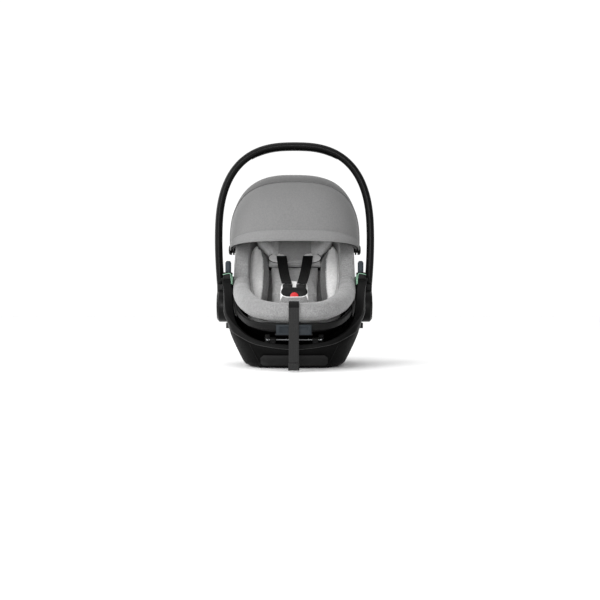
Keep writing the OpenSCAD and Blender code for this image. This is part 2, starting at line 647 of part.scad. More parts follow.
pin_r = 6;
pin_x0 = 146;
pin_x1 = 187.5;
module canopy_pivots() color(black) right_and_left() {
    translate([pin_x0, canopy_y, canopy_z]) rotate(X_AXIS) cylinder(h = pin_x1 - pin_x0, r = pin_r);
    translate([pin_x0, canopy_y, canopy_z]) rotate(X_AXIS) cylinder(h = 23, r = 16);
    translate([pin_x1, canopy_y, canopy_z]) rotate(X_AXIS) cylinder(h = 3, r = 13);
}
// A bow: a thin tube over the arch at one fold angle, with an eye on each pivot pin
module bow(fold, r, half_w, tube, eye_x, eye_t) color(black) difference() {
    union() {
        loft([for (t = [0.9, each arch_turns, 179.1])
            let (p = canopy_point(t, fold, r, half_w),
                 q = canopy_point(t + 0.5, fold, r, half_w) - canopy_point(t - 0.5, fold, r, half_w),
                 out = [0, -cos(fold), sin(fold)], d = q / norm(q), n = cross(cross(d, out), d),
                 m = n / norm(n), s = [0, sin(fold), cos(fold)])
            [for (k = [0:7]) p + tube * (m * cos(45 * k) + s * sin(45 * k))]]);
        for (s = [-1, 1]) translate([s * eye_x - eye_t / 2, canopy_y, canopy_z]) rotate(X_AXIS)
            cylinder(h = eye_t, r = 12);
    }
    for (s = [-1, 1]) translate([s * eye_x - 8, canopy_y, canopy_z]) rotate(X_AXIS) cylinder(h = 16, r = pin_r + 0.06);
}
module canopy_mid_bow() bow(canopy_seam_angle, canopy_r - 5.5, canopy_half_w - 5.2, 1.8, 180.6, 3.6);
module canopy_front_bow() bow(canopy_front_angle + 1, canopy_r - 13.6, canopy_half_w - 12.6, 2.2, 173.4, 4);

// ---- Nodes ----

base_shell();
front_cover();
skid_pads();
lock_bars();
recline_rails();
recline_rod();
rod_clamps();
guide_housing();  // guide_housing_right
mirror([1, 0, 0]) guide_housing();  // guide_housing_left
belt_guide();  // belt_guide_right
mirror([1, 0, 0]) belt_guide();  // belt_guide_left
adapter_socket();  // adapter_socket_right
mirror([1, 0, 0]) adapter_socket();  // adapter_socket_left
hub_core();  // hub_core_right
mirror([1, 0, 0]) hub_core();  // hub_core_left
pivot_bolts();
release_tab();  // release_tab_right
mirror([1, 0, 0]) release_tab();  // release_tab_left
handle_tube();
handle_grip();
hub_housing();  // hub_housing_right
mirror([1, 0, 0]) hub_housing();  // hub_housing_left
button_springs();
handle_button();  // handle_button_right
mirror([1, 0, 0]) handle_button();  // handle_button_left
lock_gear();  // lock_gear_right
mirror([1, 0, 0]) lock_gear();  // lock_gear_left
seat_shell();
foam_liner();
recline_shoes();
front_trim();
padded_rim();
side_cover();  // side_cover_right
mirror([1, 0, 0]) side_cover();  // side_cover_left
infant_insert();
bolster();  // bolster_right
mirror([1, 0, 0]) bolster();  // bolster_left
crotch_strap();
crotch_pad();
buckle_body();
buckle_tongues();
buckle_button();
shoulder_strap();  // shoulder_strap_right
mirror([1, 0, 0]) shoulder_strap();  // shoulder_strap_left
adjuster_housing();
adjuster_button();
adjuster_strap();
strap_end();
harness_yoke();
recline_lever();
headrest_shell();
headrest_pad();
strap_guides();
headrest_lever();
canopy_pivots();
canopy_front_bow();
canopy_mid_bow();
canopy_front_panel();
canopy_rear_panel();
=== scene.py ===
"""Looks of the infant car seat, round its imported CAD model: +X right, -Y foot end, +Z up.

Lengths are in millimetres, and the camera and the lights are in metres.
"""

import json
import math

import bmesh
import bpy
import numpy as np
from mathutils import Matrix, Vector
from mathutils.bvhtree import BVHTree
from mathutils.kdtree import KDTree

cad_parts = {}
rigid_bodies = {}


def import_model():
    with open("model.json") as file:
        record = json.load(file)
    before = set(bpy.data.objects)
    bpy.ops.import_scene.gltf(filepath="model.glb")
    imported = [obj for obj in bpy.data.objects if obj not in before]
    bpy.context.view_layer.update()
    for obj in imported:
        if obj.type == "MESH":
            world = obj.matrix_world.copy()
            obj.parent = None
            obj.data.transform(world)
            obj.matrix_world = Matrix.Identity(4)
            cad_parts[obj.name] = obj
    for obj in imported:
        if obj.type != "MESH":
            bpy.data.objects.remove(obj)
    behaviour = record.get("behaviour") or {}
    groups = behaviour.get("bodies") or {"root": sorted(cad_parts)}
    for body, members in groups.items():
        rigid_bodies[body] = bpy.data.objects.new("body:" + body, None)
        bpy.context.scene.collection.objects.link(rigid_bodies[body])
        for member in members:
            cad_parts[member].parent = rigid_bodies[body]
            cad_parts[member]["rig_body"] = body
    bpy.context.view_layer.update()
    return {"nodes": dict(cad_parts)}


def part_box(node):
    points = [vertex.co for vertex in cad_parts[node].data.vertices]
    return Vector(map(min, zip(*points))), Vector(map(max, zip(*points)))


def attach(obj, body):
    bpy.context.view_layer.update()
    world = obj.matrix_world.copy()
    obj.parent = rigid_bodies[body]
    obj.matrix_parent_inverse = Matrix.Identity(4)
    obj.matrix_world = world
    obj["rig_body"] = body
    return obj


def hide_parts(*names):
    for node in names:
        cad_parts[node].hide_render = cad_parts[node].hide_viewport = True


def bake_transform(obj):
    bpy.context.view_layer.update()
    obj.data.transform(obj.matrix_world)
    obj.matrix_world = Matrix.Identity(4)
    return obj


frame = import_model()

MM = 0.001
SIDES = (("left", -1), ("right", 1))
scene = bpy.context.scene


# ---- Camera ----

VIEW_DISTANCE = 3.0
VIEW_HEIGHT = 0.175
VIEW_SHIFT = 0.015
FRAME_WIDTH = 1.64       # what the picture is wide, at the middle of the seat


def make_camera():
    """A level camera in front of the foot end."""
    data = bpy.data.cameras.new("camera")
    data.lens = data.sensor_width * VIEW_DISTANCE / FRAME_WIDTH
    camera = bpy.data.objects.new("camera", data)
    camera.location = (VIEW_SHIFT, -VIEW_DISTANCE, VIEW_HEIGHT)
    camera.rotation_euler = (math.radians(90), 0, 0)
    scene.collection.objects.link(camera)
    scene.camera = camera


# ---- Curves and meshes ----


def curve(x, rows):
    """A smooth curve through [x, value] rows, level beyond them."""
    xs, ys = np.array(rows, float).T
    after = np.minimum(np.arange(len(xs)) + 1, len(xs) - 1)
    before = np.maximum(np.arange(len(xs)) - 1, 0)
    slopes = (ys[after] - ys[before]) / (xs[after] - xs[before])
    x = np.clip(x, xs[0], xs[-1])
    i = np.clip(np.searchsorted(xs, x, side="right") - 1, 0, len(xs) - 2)
    h = xs[i + 1] - xs[i]
    u = (x - xs[i]) / h
    return ((2 * u**3 - 3 * u**2 + 1) * ys[i] + (u**3 - 2 * u**2 + u) * h * slopes[i]
            + (3 * u**2 - 2 * u**3) * ys[i + 1] + (u**3 - u**2) * h * slopes[i + 1])


def smooth01(t):
    """An even step: 0 up to t = 0 and 1 from t = 1."""
    t = np.clip(t, 0, 1)
    return t * t * (3 - 2 * t)


def signed_pow(v, e):
    return np.sign(v) * np.abs(v) ** e


def run_of(line):
    """How far along a line each of its points is."""
    return np.concatenate([[0], np.cumsum(np.linalg.norm(np.diff(line, axis=0), axis=1))])


def through(points, count):
    """count points at equal steps along a smooth line through a few points."""
    p = np.asarray(points, float)
    steps = run_of(p)
    fine = np.linspace(0, steps[-1], 400)
    line = np.stack([curve(fine, list(zip(steps, p[:, k]))) for k in range(3)], 1)
    run = run_of(line)
    at = np.linspace(0, run[-1], count)
    return np.stack([np.interp(at, run, line[:, k]) for k in range(3)], 1)


def unit(v):
    return v / np.maximum(np.linalg.norm(v, axis=-1, keepdims=True), 1e-12)


def along(line):
    return unit(np.gradient(np.asarray(line, float), axis=0))


def new_piece(name, points, faces, material, uv=None):
    """A mesh piece."""
    mesh = bpy.data.meshes.new(name)
    mesh.from_pydata((np.asarray(points, float) * MM).tolist(), [], faces)
    mesh.materials.append(material)
    mesh.shade_smooth()
    if uv is not None:
        layer = mesh.uv_layers.new(name="uv")
        corners = np.zeros(len(mesh.loops), int)
        mesh.loops.foreach_get("vertex_index", corners)
        layer.data.foreach_set("uv", np.asarray(uv, np.float32)[corners].ravel())
    obj = bpy.data.objects.new(name, mesh)
    scene.collection.objects.link(obj)
    return obj


def grid_faces(n, m, around=False):
    """Squares of an n by m grid of points, closed across its columns if around."""
    faces = []
    for i in range(n - 1):
        for j in range(m if around else m - 1):
            k = (j + 1) % m
            faces.append((i * m + j, i * m + k, (i + 1) * m + k, (i + 1) * m + j))
    return faces


def lofted(name, rings, material, uv=None):
    """A closed piece through rings of equally many points, capped at both ends."""
    rings = np.asarray(rings, float)
    n, m = rings.shape[:2]
    points = np.vstack([rings.reshape(-1, 3), rings[0].mean(0), rings[-1].mean(0)])
    faces = grid_faces(n, m, around=True)
    faces += [(n * m, (j + 1) % m, j) for j in range(m)]
    faces += [(n * m + 1, (n - 1) * m + j, (n - 1) * m + (j + 1) % m) for j in range(m)]
    if uv is not None:
        uv = np.vstack([uv, uv[:1], uv[-1:]])
    return face_outwards(new_piece(name, points, faces, material, uv))


def face_outwards(obj):
    bm = bmesh.new()
    bm.from_mesh(obj.data)
    bmesh.ops.recalc_face_normals(bm, faces=bm.faces)
    bm.to_mesh(obj.data)
    bm.free()
    return obj


def sheet_piece(name, rows, thickness, material):
    """A thin closed sheet under a grid of points; it grows against its normal by thickness."""
    rows = np.asarray(rows, float)
    n, m = rows.shape[:2]
    size = n * m
    normal = unit(np.cross(np.gradient(rows, axis=0), np.gradient(rows, axis=1)))
    both = np.vstack([rows.reshape(-1, 3), (rows - normal * thickness).reshape(-1, 3)])
    faces = grid_faces(n, m)
    back = [tuple(v + size for v in reversed(f)) for f in faces]
    edge = [*range(m), *range(2 * m - 1, size, m), *range(size - 2, size - m - 1, -1),
            *range(size - 2 * m, 0, -m)]
    walls = [(a, a + size, b + size, b) for a, b in zip(edge, edge[1:] + edge[:1])]
    return face_outwards(new_piece(name, both, faces + back + walls, material))


TUBE_SIDES = 8
TUBE_LEAN = (0.31, 0.17, 0.93)        # no tube runs this way


def tube(name, line, radius, material):
    """A round tube along a line."""
    line = np.asarray(line, float)
    ahead = along(line)
    side = unit(np.cross(ahead, TUBE_LEAN))
    up = np.cross(side, ahead)
    turn = np.linspace(0, 2 * math.pi, TUBE_SIDES, endpoint=False)
    rings = [p + radius * (np.outer(np.cos(turn), s) + np.outer(np.sin(turn), u))
             for p, s, u in zip(line, side, up)]
    return lofted(name, rings, material)


# Half of a strap's section, as shares of half its width and of half its thickness
STRAP_SIDE = [(-1, 0), (-0.965, 0.8), (-0.9, 1), (-0.45, 1), (0, 1), (0.45, 1), (0.9, 1), (0.965, 0.8)]


def ribbon(name, line, across, width, thickness, material):
    """A flat strap along a line: across is the direction of its width, and width may change along it."""
    line = np.asarray(line, float)
    n = len(line)
    across = unit(np.broadcast_to(np.asarray(across, float), (n, 3)))
    half = np.broadcast_to(np.asarray(width, float), (n,)) / 2
    normal = unit(np.cross(across, along(line)))
    across = np.cross(along(line), normal)
    section = STRAP_SIDE + [(-c, -d) for c, d in STRAP_SIDE]
    run = run_of(line)
    rings = [[line[i] + across[i] * c * half[i] + normal[i] * d * thickness / 2 for c, d in section]
             for i in range(n)]
    uv = [(c * half[i] * MM, run[i] * MM) for i in range(n) for c, d in section]
    return lofted(name, rings, material, np.array(uv))


def baked(obj):
    """Applies a piece's modifiers."""
    mesh = bpy.data.meshes.new_from_object(obj.evaluated_get(bpy.context.evaluated_depsgraph_get()))
    mesh.name = obj.name
    obj.modifiers.clear()
    obj.data = mesh
    return obj


def points_of(obj):
    co = np.zeros(len(obj.data.vertices) * 3)
    obj.data.vertices.foreach_get("co", co)
    return co.reshape(-1, 3)


def set_points(obj, co):
    obj.data.vertices.foreach_set("co", np.asarray(co, np.float32).ravel())
    obj.data.update()


def normals_of(obj):
    no = np.zeros(len(obj.data.vertices) * 3)
    obj.data.vertices.foreach_get("normal", no)
    return no.reshape(-1, 3)


def modified(obj, kind, **values):
    """Adds a modifier to a piece and applies it."""
    mod = obj.modifiers.new(kind.lower(), kind)
    for key, value in values.items():
        setattr(mod, key, value)
    return baked(obj)


def subdivided(obj, levels=1):
    return modified(obj, "SUBSURF", levels=levels, render_levels=levels)


def bevelled(obj, width, segments=2):
    modified(obj, "BEVEL", width=width * MM, segments=segments, limit_method="ANGLE",
             angle_limit=math.radians(35))
    obj.data.shade_smooth()
    obj.data.set_sharp_from_angle(angle=math.radians(50))
    return obj


def copy_of(node, name, material, joined):
    """A new piece with a CAD node's shape; joined joins up its triangles."""
    obj = bpy.data.objects.new(name, frame["nodes"][node].data.copy())
    scene.collection.objects.link(obj)
    obj.data.materials.clear()
    obj.data.materials.append(material)
    bm = bmesh.new()
    bm.from_mesh(obj.data)
    bmesh.ops.remove_doubles(bm, verts=bm.verts, dist=1e-5)
    joined(bm)
    bm.to_mesh(obj.data)
    bm.free()
    return obj


def into_flats(bm):
    bmesh.ops.dissolve_limit(bm, angle_limit=math.radians(0.5), verts=bm.verts, edges=bm.edges)


def into_quads(bm):
    """Pairs triangles up and creases the sharp edges."""
    bmesh.ops.join_triangles(bm, faces=bm.faces, angle_face_threshold=math.radians(25),
                             angle_shape_threshold=math.radians(60))
    layer = bm.edges.layers.float.get("crease_edge") or bm.edges.layers.float.new("crease_edge")
    for e in bm.edges:
        if len(e.link_faces) == 2 and e.calc_face_angle(0) > math.radians(38):
            e[layer] = 0.75


def replace_hard(node, material, bevel):
    """Stands for a hard CAD node with the same shape and rounded edges."""
    obj = copy_of(node, node + "_form", material, into_flats)
    bevelled(obj, bevel)
    placed(obj, frame["nodes"][node]["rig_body"], node)


def replace_smooth(node, material):
    """Stands for a lofted CAD node with its facets smoothed away and its sharp edges kept."""
    obj = copy_of(node, node + "_form", material, into_quads)
    obj.data.shade_smooth()
    subdivided(obj, 2)
    obj.data.set_sharp_from_angle(angle=math.radians(60))
    placed(obj, frame["nodes"][node]["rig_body"], node)


def placed(obj, body, *nodes):
    """The piece rides on a body and stands for CAD nodes, if any."""
    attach(obj, body)
    if nodes:
        stands_for(obj, *nodes)


def stands_for(obj, *nodes):
    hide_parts(*nodes)


def placed_pad(pad, body, fill, *nodes):
    placed(pad, body, *nodes)


# ---- Padding ----


def remeshed(obj, voxel):
    return modified(obj, "REMESH", mode="VOXEL", voxel_size=voxel * MM, use_smooth_shade=True)


def relaxed(obj, steps):
    return modified(obj, "SMOOTH", iterations=steps, factor=0.5)


SWELL_FRAMES = 20
CLOTH_STIFFNESS = 15.0


def swollen(obj, pressure, cap):
    """Swells a closed mesh by cloth simulation, each point by at most cap millimetres."""
    rest = points_of(obj)
    cloth = obj.modifiers.new("cloth", "CLOTH")
    cloth.settings.quality = 4
    cloth.settings.use_pressure = True
    cloth.settings.uniform_pressure_force = pressure
    cloth.settings.effector_weights.gravity = 0
    cloth.settings.tension_stiffness = CLOTH_STIFFNESS
    cloth.settings.compression_stiffness = CLOTH_STIFFNESS
    cloth.point_cache.frame_start = 1
    cloth.point_cache.frame_end = SWELL_FRAMES
    for number in range(1, SWELL_FRAMES + 1):
        scene.frame_set(number)
    baked(obj)
    scene.frame_set(1)
    shift = points_of(obj) - rest
    size = np.linalg.norm(shift, axis=1, keepdims=True)
    limit = cap * MM
    set_points(obj, rest + shift * (limit * np.tanh(size / limit) / np.maximum(size, 1e-9)))


def stuffed(obj, voxel, smoothing, pressure, cap, settling, drawn_in=0.0):
    """Makes a closed shape a stuffed one: drawn in, swollen by simulation and smoothed."""
    remeshed(obj, voxel)
    if smoothing:
        relaxed(obj, smoothing)
    if drawn_in:
        set_points(obj, points_of(obj) - normals_of(obj) * drawn_in * MM)
    swollen(obj, pressure, cap)
    relaxed(obj, settling)
    subdivided(obj)


def lie_on(obj, line):
    """A line laid onto a piece's nearest surface."""
    tree = BVHTree.FromObject(obj, bpy.context.evaluated_depsgraph_get())
    return np.array([np.array(tree.find_nearest(Vector(p * MM))[0]) / MM for p in line])


def grooved(obj, lines, width, depth):
    """Presses sewn channels into a piece along lines."""
    dense = np.vstack([through(line, 220) for line in lines])
    tree = KDTree(len(dense))
    for i, p in enumerate(dense):
        tree.insert(p * MM, i)
    tree.balance()
    co, no = points_of(obj), normals_of(obj)
    far = np.array([tree.find(p)[2] for p in co]) / MM
    press = depth * np.exp(-((far / width) ** 2))
    set_points(obj, co - no * press[:, None] * MM)


def rumpled(obj, size, height, seed):
    """Soft uneven waves over a piece, of about this wavelength and height."""
    co, no = points_of(obj), normals_of(obj)
    rng = np.random.default_rng(seed)
    total = np.zeros(len(co))
    for _ in range(7):
        direction = unit(rng.normal(size=3))
        wave = size * MM * rng.uniform(0.7, 1.6)
        total += np.sin(co @ direction * 2 * math.pi / wave + rng.uniform(0, 6.28))
    set_points(obj, co + no * (total / 7 * height * 1.6 * MM)[:, None])


def piping(name, owner, line, radius, material, body, lift):
    """A sewn cord along a line on a padded piece."""
    laid = lie_on(owner, through(line, 90))
    for _ in range(2):
        laid[1:-1] = (laid[:-2] + 2 * laid[1:-1] + laid[2:]) / 4
    placed(tube(name, laid + lift * unit(laid - laid.mean(0)), radius, material), body)


STITCH_RADIUS = 0.42
STITCH_LIFT = 0.25
# One stitch: rings by their share of its length from its middle, and of its radius
STITCH_RINGS = ((-0.5, 0.25), (-0.3, 1.0), (0.3, 1.0), (0.5, 0.25))


def stitches(name, owner, line, material, body, pitch, length=2.6):
    """A row of single stitches along a line on a piece."""
    rough = through(line, 120)
    laid = lie_on(owner, through(rough, max(4, int(run_of(rough)[-1] / pitch) * 2)))
    tree = BVHTree.FromObject(owner, bpy.context.evaluated_depsgraph_get())
    points, faces = [], []
    turn = np.linspace(0, 2 * math.pi, 6, endpoint=False)
    m = len(turn)
    for a, b in zip(laid[0:-1:2], laid[1::2]):
        d = unit(b - a)
        middle = (a + b) / 2
        normal = np.array(tree.find_nearest(Vector(middle * MM))[1])
        side = unit(np.cross(d, normal))
        start = len(points)
        for s, r in STITCH_RINGS:
            centre = middle + d * s * length + normal * (STITCH_LIFT - 0.25 * (abs(s) > 0.4))
            points += [centre + STITCH_RADIUS * r * (np.cos(k) * side + np.sin(k) * normal) for k in turn]
        faces += [tuple(start + v for v in f) for f in grid_faces(4, m, around=True)]
        faces += [tuple(start + v for v in reversed(range(m))), tuple(start + 3 * m + v for v in range(m))]
    placed(face_outwards(new_piece(name, points, faces, material)), body)


# ---- Materials ----


class Paint:
    """A node material round one Principled shader."""

    def __init__(self, name, **sockets):
        self.material = bpy.data.materials.new(name)
        self.material.use_nodes = True
        self.tree = self.material.node_tree
        self.shader = self.tree.nodes["Principled BSDF"]
        for key, value in sockets.items():
            self.shader.inputs[key.replace("_", " ")].default_value = value
        self.place = self.add("ShaderNodeTexCoord").outputs["Object"]

    def add(self, kind, links=(), **values):
        node = self.tree.nodes.new(kind)
        for key, value in values.items():
            socket = key.replace("_", " ")
            if socket in node.inputs.keys():
                node.inputs[socket].default_value = value
            else:
                setattr(node, key, value)
        for socket, output in dict(links).items():
            self.tree.links.new(output, node.inputs[socket])
        return node

    def noise(self, scale, detail=2.0, rough=0.5, place=None):
        node = self.add("ShaderNodeTexNoise", {"Vector": place or self.place}, Scale=scale,
                        Detail=detail, Roughness=rough)
        return node.outputs["Fac"]

    def cells(self, scale):
        node = self.add("ShaderNodeTexVoronoi", {"Vector": self.place}, Scale=scale)
        return node.outputs["Distance"]

    def ramp(self, value, low, high, low_colour, high_colour):
        node = self.add("ShaderNodeValToRGB", {"Fac": value})
        node.color_ramp.elements[0].position = low
        node.color_ramp.elements[1].position = high
        node.color_ramp.elements[0].color = (*low_colour, 1)
        node.color_ramp.elements[1].color = (*high_colour, 1)
        return node.outputs["Color"]

    def mixed(self, factor, a, b, mode="MIX"):
        node = self.add("ShaderNodeMixRGB", blend_type=mode)
        for socket, value in (("Fac", factor), ("Color1", a), ("Color2", b)):
            if isinstance(value, bpy.types.NodeSocket):
                self.tree.links.new(value, node.inputs[socket])
            else:
                node.inputs[socket].default_value = value
        return node.outputs["Color"]

    def sum(self, a, b, scale=1.0):
        node = self.add("ShaderNodeMath", {0: a}, operation="MULTIPLY_ADD")
        node.inputs[1].default_value = scale
        self.tree.links.new(b, node.inputs[2])
        return node.outputs["Value"]

    def flecks(self, value, low, high, colour, contrast):
        """A darker and a lighter shade of one colour."""
        return self.ramp(value, low, high, scaled(colour, 1 - contrast), scaled(colour, 1 + contrast))

    def waves(self, vector, direction, scale):
        node = self.add("ShaderNodeTexWave", {"Vector": vector}, wave_type="BANDS",
                        bands_direction=direction, Scale=scale)
        return node.outputs["Fac"]

    def gloss(self, value, **ends):
        node = self.add("ShaderNodeMapRange", {"Value": value}, **ends)
        self.link(node.outputs["Result"], "Roughness")

    def link(self, output, socket):
        self.tree.links.new(output, self.shader.inputs[socket])

    def bump(self, height, strength, distance):
        node = self.add("ShaderNodeBump", {"Height": height}, Strength=strength, Distance=distance)
        self.link(node.outputs["Normal"], "Normal")


def grey(v, warm=0.0):
    return (v * (1 + warm), v, v * (1 - warm))


WAVE_TURN = 6.283         # threads and ribs are given per this many of a wave texture's bands
WEBBING_RIBS = 520.0


def scaled(colour, k):
    return tuple(c * k for c in colour)


def knit(name, colour, contrast=0.28, grain=420.0, bump=0.5):
    """Melange knit: flecks of two yarns, small loops and a faint unevenness."""
    paint = Paint(name, Roughness=0.92, Sheen_Weight=0.25, Sheen_Roughness=0.45, Specular_IOR_Level=0.2)
    flecks = paint.flecks(paint.noise(grain, 3.0, 0.65), 0.36, 0.64, colour, contrast)
    streaks = paint.ramp(paint.noise(grain * 0.28, 2.0), 0.35, 0.65, grey(0.9), grey(1.0))
    worn = paint.ramp(paint.noise(9.0, 2.0), 0.3, 0.7, grey(0.93), grey(1.0))
    yarn = paint.mixed(1.0, flecks, streaks, "MULTIPLY")
    paint.link(paint.mixed(1.0, yarn, worn, "MULTIPLY"), "Base Color")
    paint.bump(paint.sum(paint.cells(820.0), paint.noise(1500.0, 2.0), 0.8), bump, 0.0007)
    return paint.material


def woven(name, colour, contrast=0.07, thread=900.0):
    """Plain woven cloth: threads crossing at right angles."""
    paint = Paint(name, Roughness=0.85, Sheen_Weight=0.15, Sheen_Roughness=0.4, Specular_IOR_Level=0.25)
    tint = paint.flecks(paint.noise(260.0, 3.0, 0.6), 0.35, 0.65, colour, contrast)
    soft = paint.ramp(paint.noise(6.0, 2.0), 0.3, 0.7, grey(0.95), grey(1.0))
    paint.link(paint.mixed(1.0, tint, soft, "MULTIPLY"), "Base Color")
    warp = paint.waves(paint.place, "X", thread / WAVE_TURN)
    weft = paint.waves(paint.place, "Z", thread / WAVE_TURN)
    both = paint.sum(warp, weft, 1.0)
    paint.bump(paint.sum(paint.noise(1100.0, 2.0), both, 0.8), 0.35, 0.0005)
    return paint.material


def webbing(name, colour):
    """Seat-belt webbing: ribs across the strap and along it, by the strap's own lengths."""
    paint = Paint(name, Roughness=0.7, Sheen_Weight=0.02, Sheen_Roughness=0.35, Specular_IOR_Level=0.1)
    uv = paint.add("ShaderNodeTexCoord").outputs["UV"]
    across = paint.waves(uv, "Y", WEBBING_RIBS / WAVE_TURN)
    lengthwise = paint.waves(uv, "X", WEBBING_RIBS / WAVE_TURN * 0.9)
    pattern = paint.sum(across, lengthwise, 0.8)
    tint = paint.ramp(paint.noise(700.0, 2.0), 0.3, 0.7, scaled(colour, 0.75), scaled(colour, 1.35))
    shade = paint.ramp(pattern, 0.2, 1.5, grey(0.7), grey(1.0))
    paint.link(paint.mixed(1.0, tint, shade, "MULTIPLY"), "Base Color")
    paint.bump(paint.sum(pattern, paint.noise(2200.0), 0.8), 0.55, 0.0006)
    return paint.material


def plastic(name, colour, rough=0.45, grain=1500.0, bump=0.12, wear=1.6, spec=0.5):
    """Moulded plastic: a fine spark-eroded grain, uneven gloss and slightly rubbed edges."""
    paint = Paint(name, Specular_IOR_Level=spec)
    edges = paint.add("ShaderNodeNewGeometry").outputs["Pointiness"]
    rubbed = paint.ramp(edges, 0.51, 0.58, grey(0.0), grey(1.0))
    patches = paint.ramp(paint.noise(38.0, 4.0, 0.6), 0.35, 0.7, scaled(colour, 0.92),
                         scaled(colour, 1.1))
    paint.link(paint.mixed(rubbed, patches, (*scaled(colour, wear), 1)), "Base Color")
    paint.gloss(paint.noise(55.0, 5.0, 0.65), From_Min=0.3, From_Max=0.7, To_Min=rough - 0.05,
                To_Max=rough + 0.07)
    paint.bump(paint.sum(paint.cells(grain), paint.noise(grain * 1.7, 2.0), 0.7), bump, 0.0003)
    return paint.material


def metal(name, colour, rough, bump=0.05):
    """Drawn and plated steel: fine lengthwise scratches in its gloss."""
    paint = Paint(name, Metallic=1.0)
    stretched = paint.add("ShaderNodeMapping", {"Vector": paint.place}, Scale=(18.0, 900.0, 900.0))
    lines = paint.noise(1.0, 3.0, 0.6, stretched.outputs["Vector"])
    paint.link(paint.ramp(lines, 0.3, 0.7, scaled(colour, 0.85), colour), "Base Color")
    paint.gloss(lines, To_Min=rough, To_Max=rough + 0.15)
    paint.bump(lines, bump, 0.0002)
    return paint.material


def make_materials():
    return {
        "shell": plastic("shell_grain", grey(0.003), rough=0.56, bump=0.2, spec=0.036),
        "inner": plastic("inner_shell", grey(0.0045), rough=0.5, bump=0.15, spec=0.1),
        "trim": plastic("trim_band", grey(0.0055), rough=0.5, bump=0.15, spec=0.07),
        "band": plastic("lip_band", grey(0.0045), rough=0.48, bump=0.15, spec=0.055),
        # A lighter plastic for the tube along the band's lower edge: a painted highlight, the light line
        # that edge catches.
        "edge": plastic("painted_lip_highlight", grey(0.022), rough=0.42, bump=0.05, spec=0.15),
        "handle": plastic("handle_grain", grey(0.0026), rough=0.34, bump=0.05, spec=0.1),
        "panel": plastic("front_panel", grey(0.012), rough=0.5, bump=0.2, spec=0.08),
        "slate": plastic("slate_parts", (0.018, 0.023, 0.028), bump=0.15, wear=1.35, spec=0.12),
        "slate_dark": plastic("slate_lever", (0.010, 0.013, 0.016), bump=0.15, wear=1.2, spec=0.1),
        "mint": plastic("belt_liner", (0.15, 0.30, 0.20), rough=0.38, bump=0.1, wear=1.15),
        "red": plastic("red_button", (0.45, 0.006, 0.009), rough=0.26, bump=0.05, wear=1.1),
        "buckle": plastic("buckle_shell", grey(0.004), rough=0.42, bump=0.1, spec=0.12),
        "rubber": plastic("soft_rubber", grey(0.008), rough=0.75, grain=900.0, bump=0.4, spec=0.15),
        "steel": metal("plated_steel", (0.62, 0.63, 0.65), 0.28),
        "chrome": metal("chromed_rod", (0.2, 0.205, 0.21), 0.2, bump=0.02),
        "melange": knit("melange_knit", grey(0.2), contrast=0.22, grain=330.0),
        "melange_light": knit("melange_insert", grey(0.48), contrast=0.16, grain=420.0, bump=0.35),
        # A darker knit: the real colour of the cover's cords, and painted shade on the bolsters' inner
        # faces.
        "dark_melange_and_painted_shade": knit("dark_melange_and_painted_shade_knit", grey(0.15), contrast=0.2),
        "pale": knit("pale_knit", grey(0.76, 0.004), contrast=0.1, grain=520.0, bump=0.3),
        "headrest": knit("headrest_knit", grey(0.32), contrast=0.14, grain=480.0),
        "canopy": woven("canopy_weave", grey(0.143)),
        "canopy_hem": woven("canopy_hem_weave", grey(0.165)),
        "canopy_rear": woven("canopy_rear_weave", grey(0.088)),
        "webbing": webbing("harness_webbing", grey(0.0035)),
        "grey_webbing": webbing("adjuster_webbing", grey(0.0165)),
        "thread": woven("sewing_thread", grey(0.24), contrast=0.1, thread=3000.0),
        "pale_thread": woven("pale_sewing_thread", grey(0.42), contrast=0.1, thread=3000.0),
        "dark_thread": woven("dark_sewing_thread", grey(0.02), contrast=0.1, thread=3000.0),
    }


make_camera()
MAT = make_materials()


# ---- Adjuster strap: a free strap, with its sewn end ----

ADJUSTER_ROUTE = [
    (0, -281, 145), (0, -281.3, 151), (0, -282.6, 158), (0, -287, 164.5), (0, -294.5, 168.8),
    (0, -303, 170.6), (0, -312, 171), (0, -320, 170), (0, -328.5, 166.5), (0, -335.5, 160.5),
    (0, -339.7, 153), (0, -341.5, 144), (0, -342, 135), (0, -342, 120), (0, -342, 100),
    (0, -342, 80), (0, -342, 60), (0, -342, 40), (0, -342, 22),
]
ADJUSTER_WIDTH = 25


def make_adjuster_strap():
    """The free strap, a sleeve where it turns down over the rim, and its stitched end."""
    line = through(ADJUSTER_ROUTE, 90)
    strap = ribbon("adjuster_webbing", line, (1, 0, 0), ADJUSTER_WIDTH, 2.0, MAT["grey_webbing"])
    placed(strap, "seat", "adjuster_strap")
    low, high = (np.array(corner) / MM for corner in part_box("strap_end"))
    middle = (low + high) / 2
    fold = [(0, middle[1], z) for z in (high[2] + 0.2, middle[2] + 3, middle[2] - 3, low[2])]
    end = ribbon("strap_end_fold", through(fold, 14), (1, 0, 0), high[0] - low[0],
                 high[1] - low[1] - 0.4, MAT["grey_webbing"])
    placed(end, "seat", "strap_end")
    turned_down = line[(line[:, 1] < -313) & (line[:, 2] > 156)]
    sleeve = ribbon("adjuster_sleeve", turned_down, (1, 0, 0), ADJUSTER_WIDTH + 0.5, 2.7, MAT["webbing"])
    placed(sleeve, "seat")
    for i, z in enumerate((high[2] - 3.5, low[2] + 3.5)):
        row = [(x, low[1] - 1, z) for x in (low[0] + 2.5, 0, high[0] - 2.5)]
        stitches(f"strap_end_stitch_{i}", end, row, MAT["dark_thread"], "seat", pitch=2.4, length=1.7)


make_adjuster_strap()


# ---- Hard parts ----

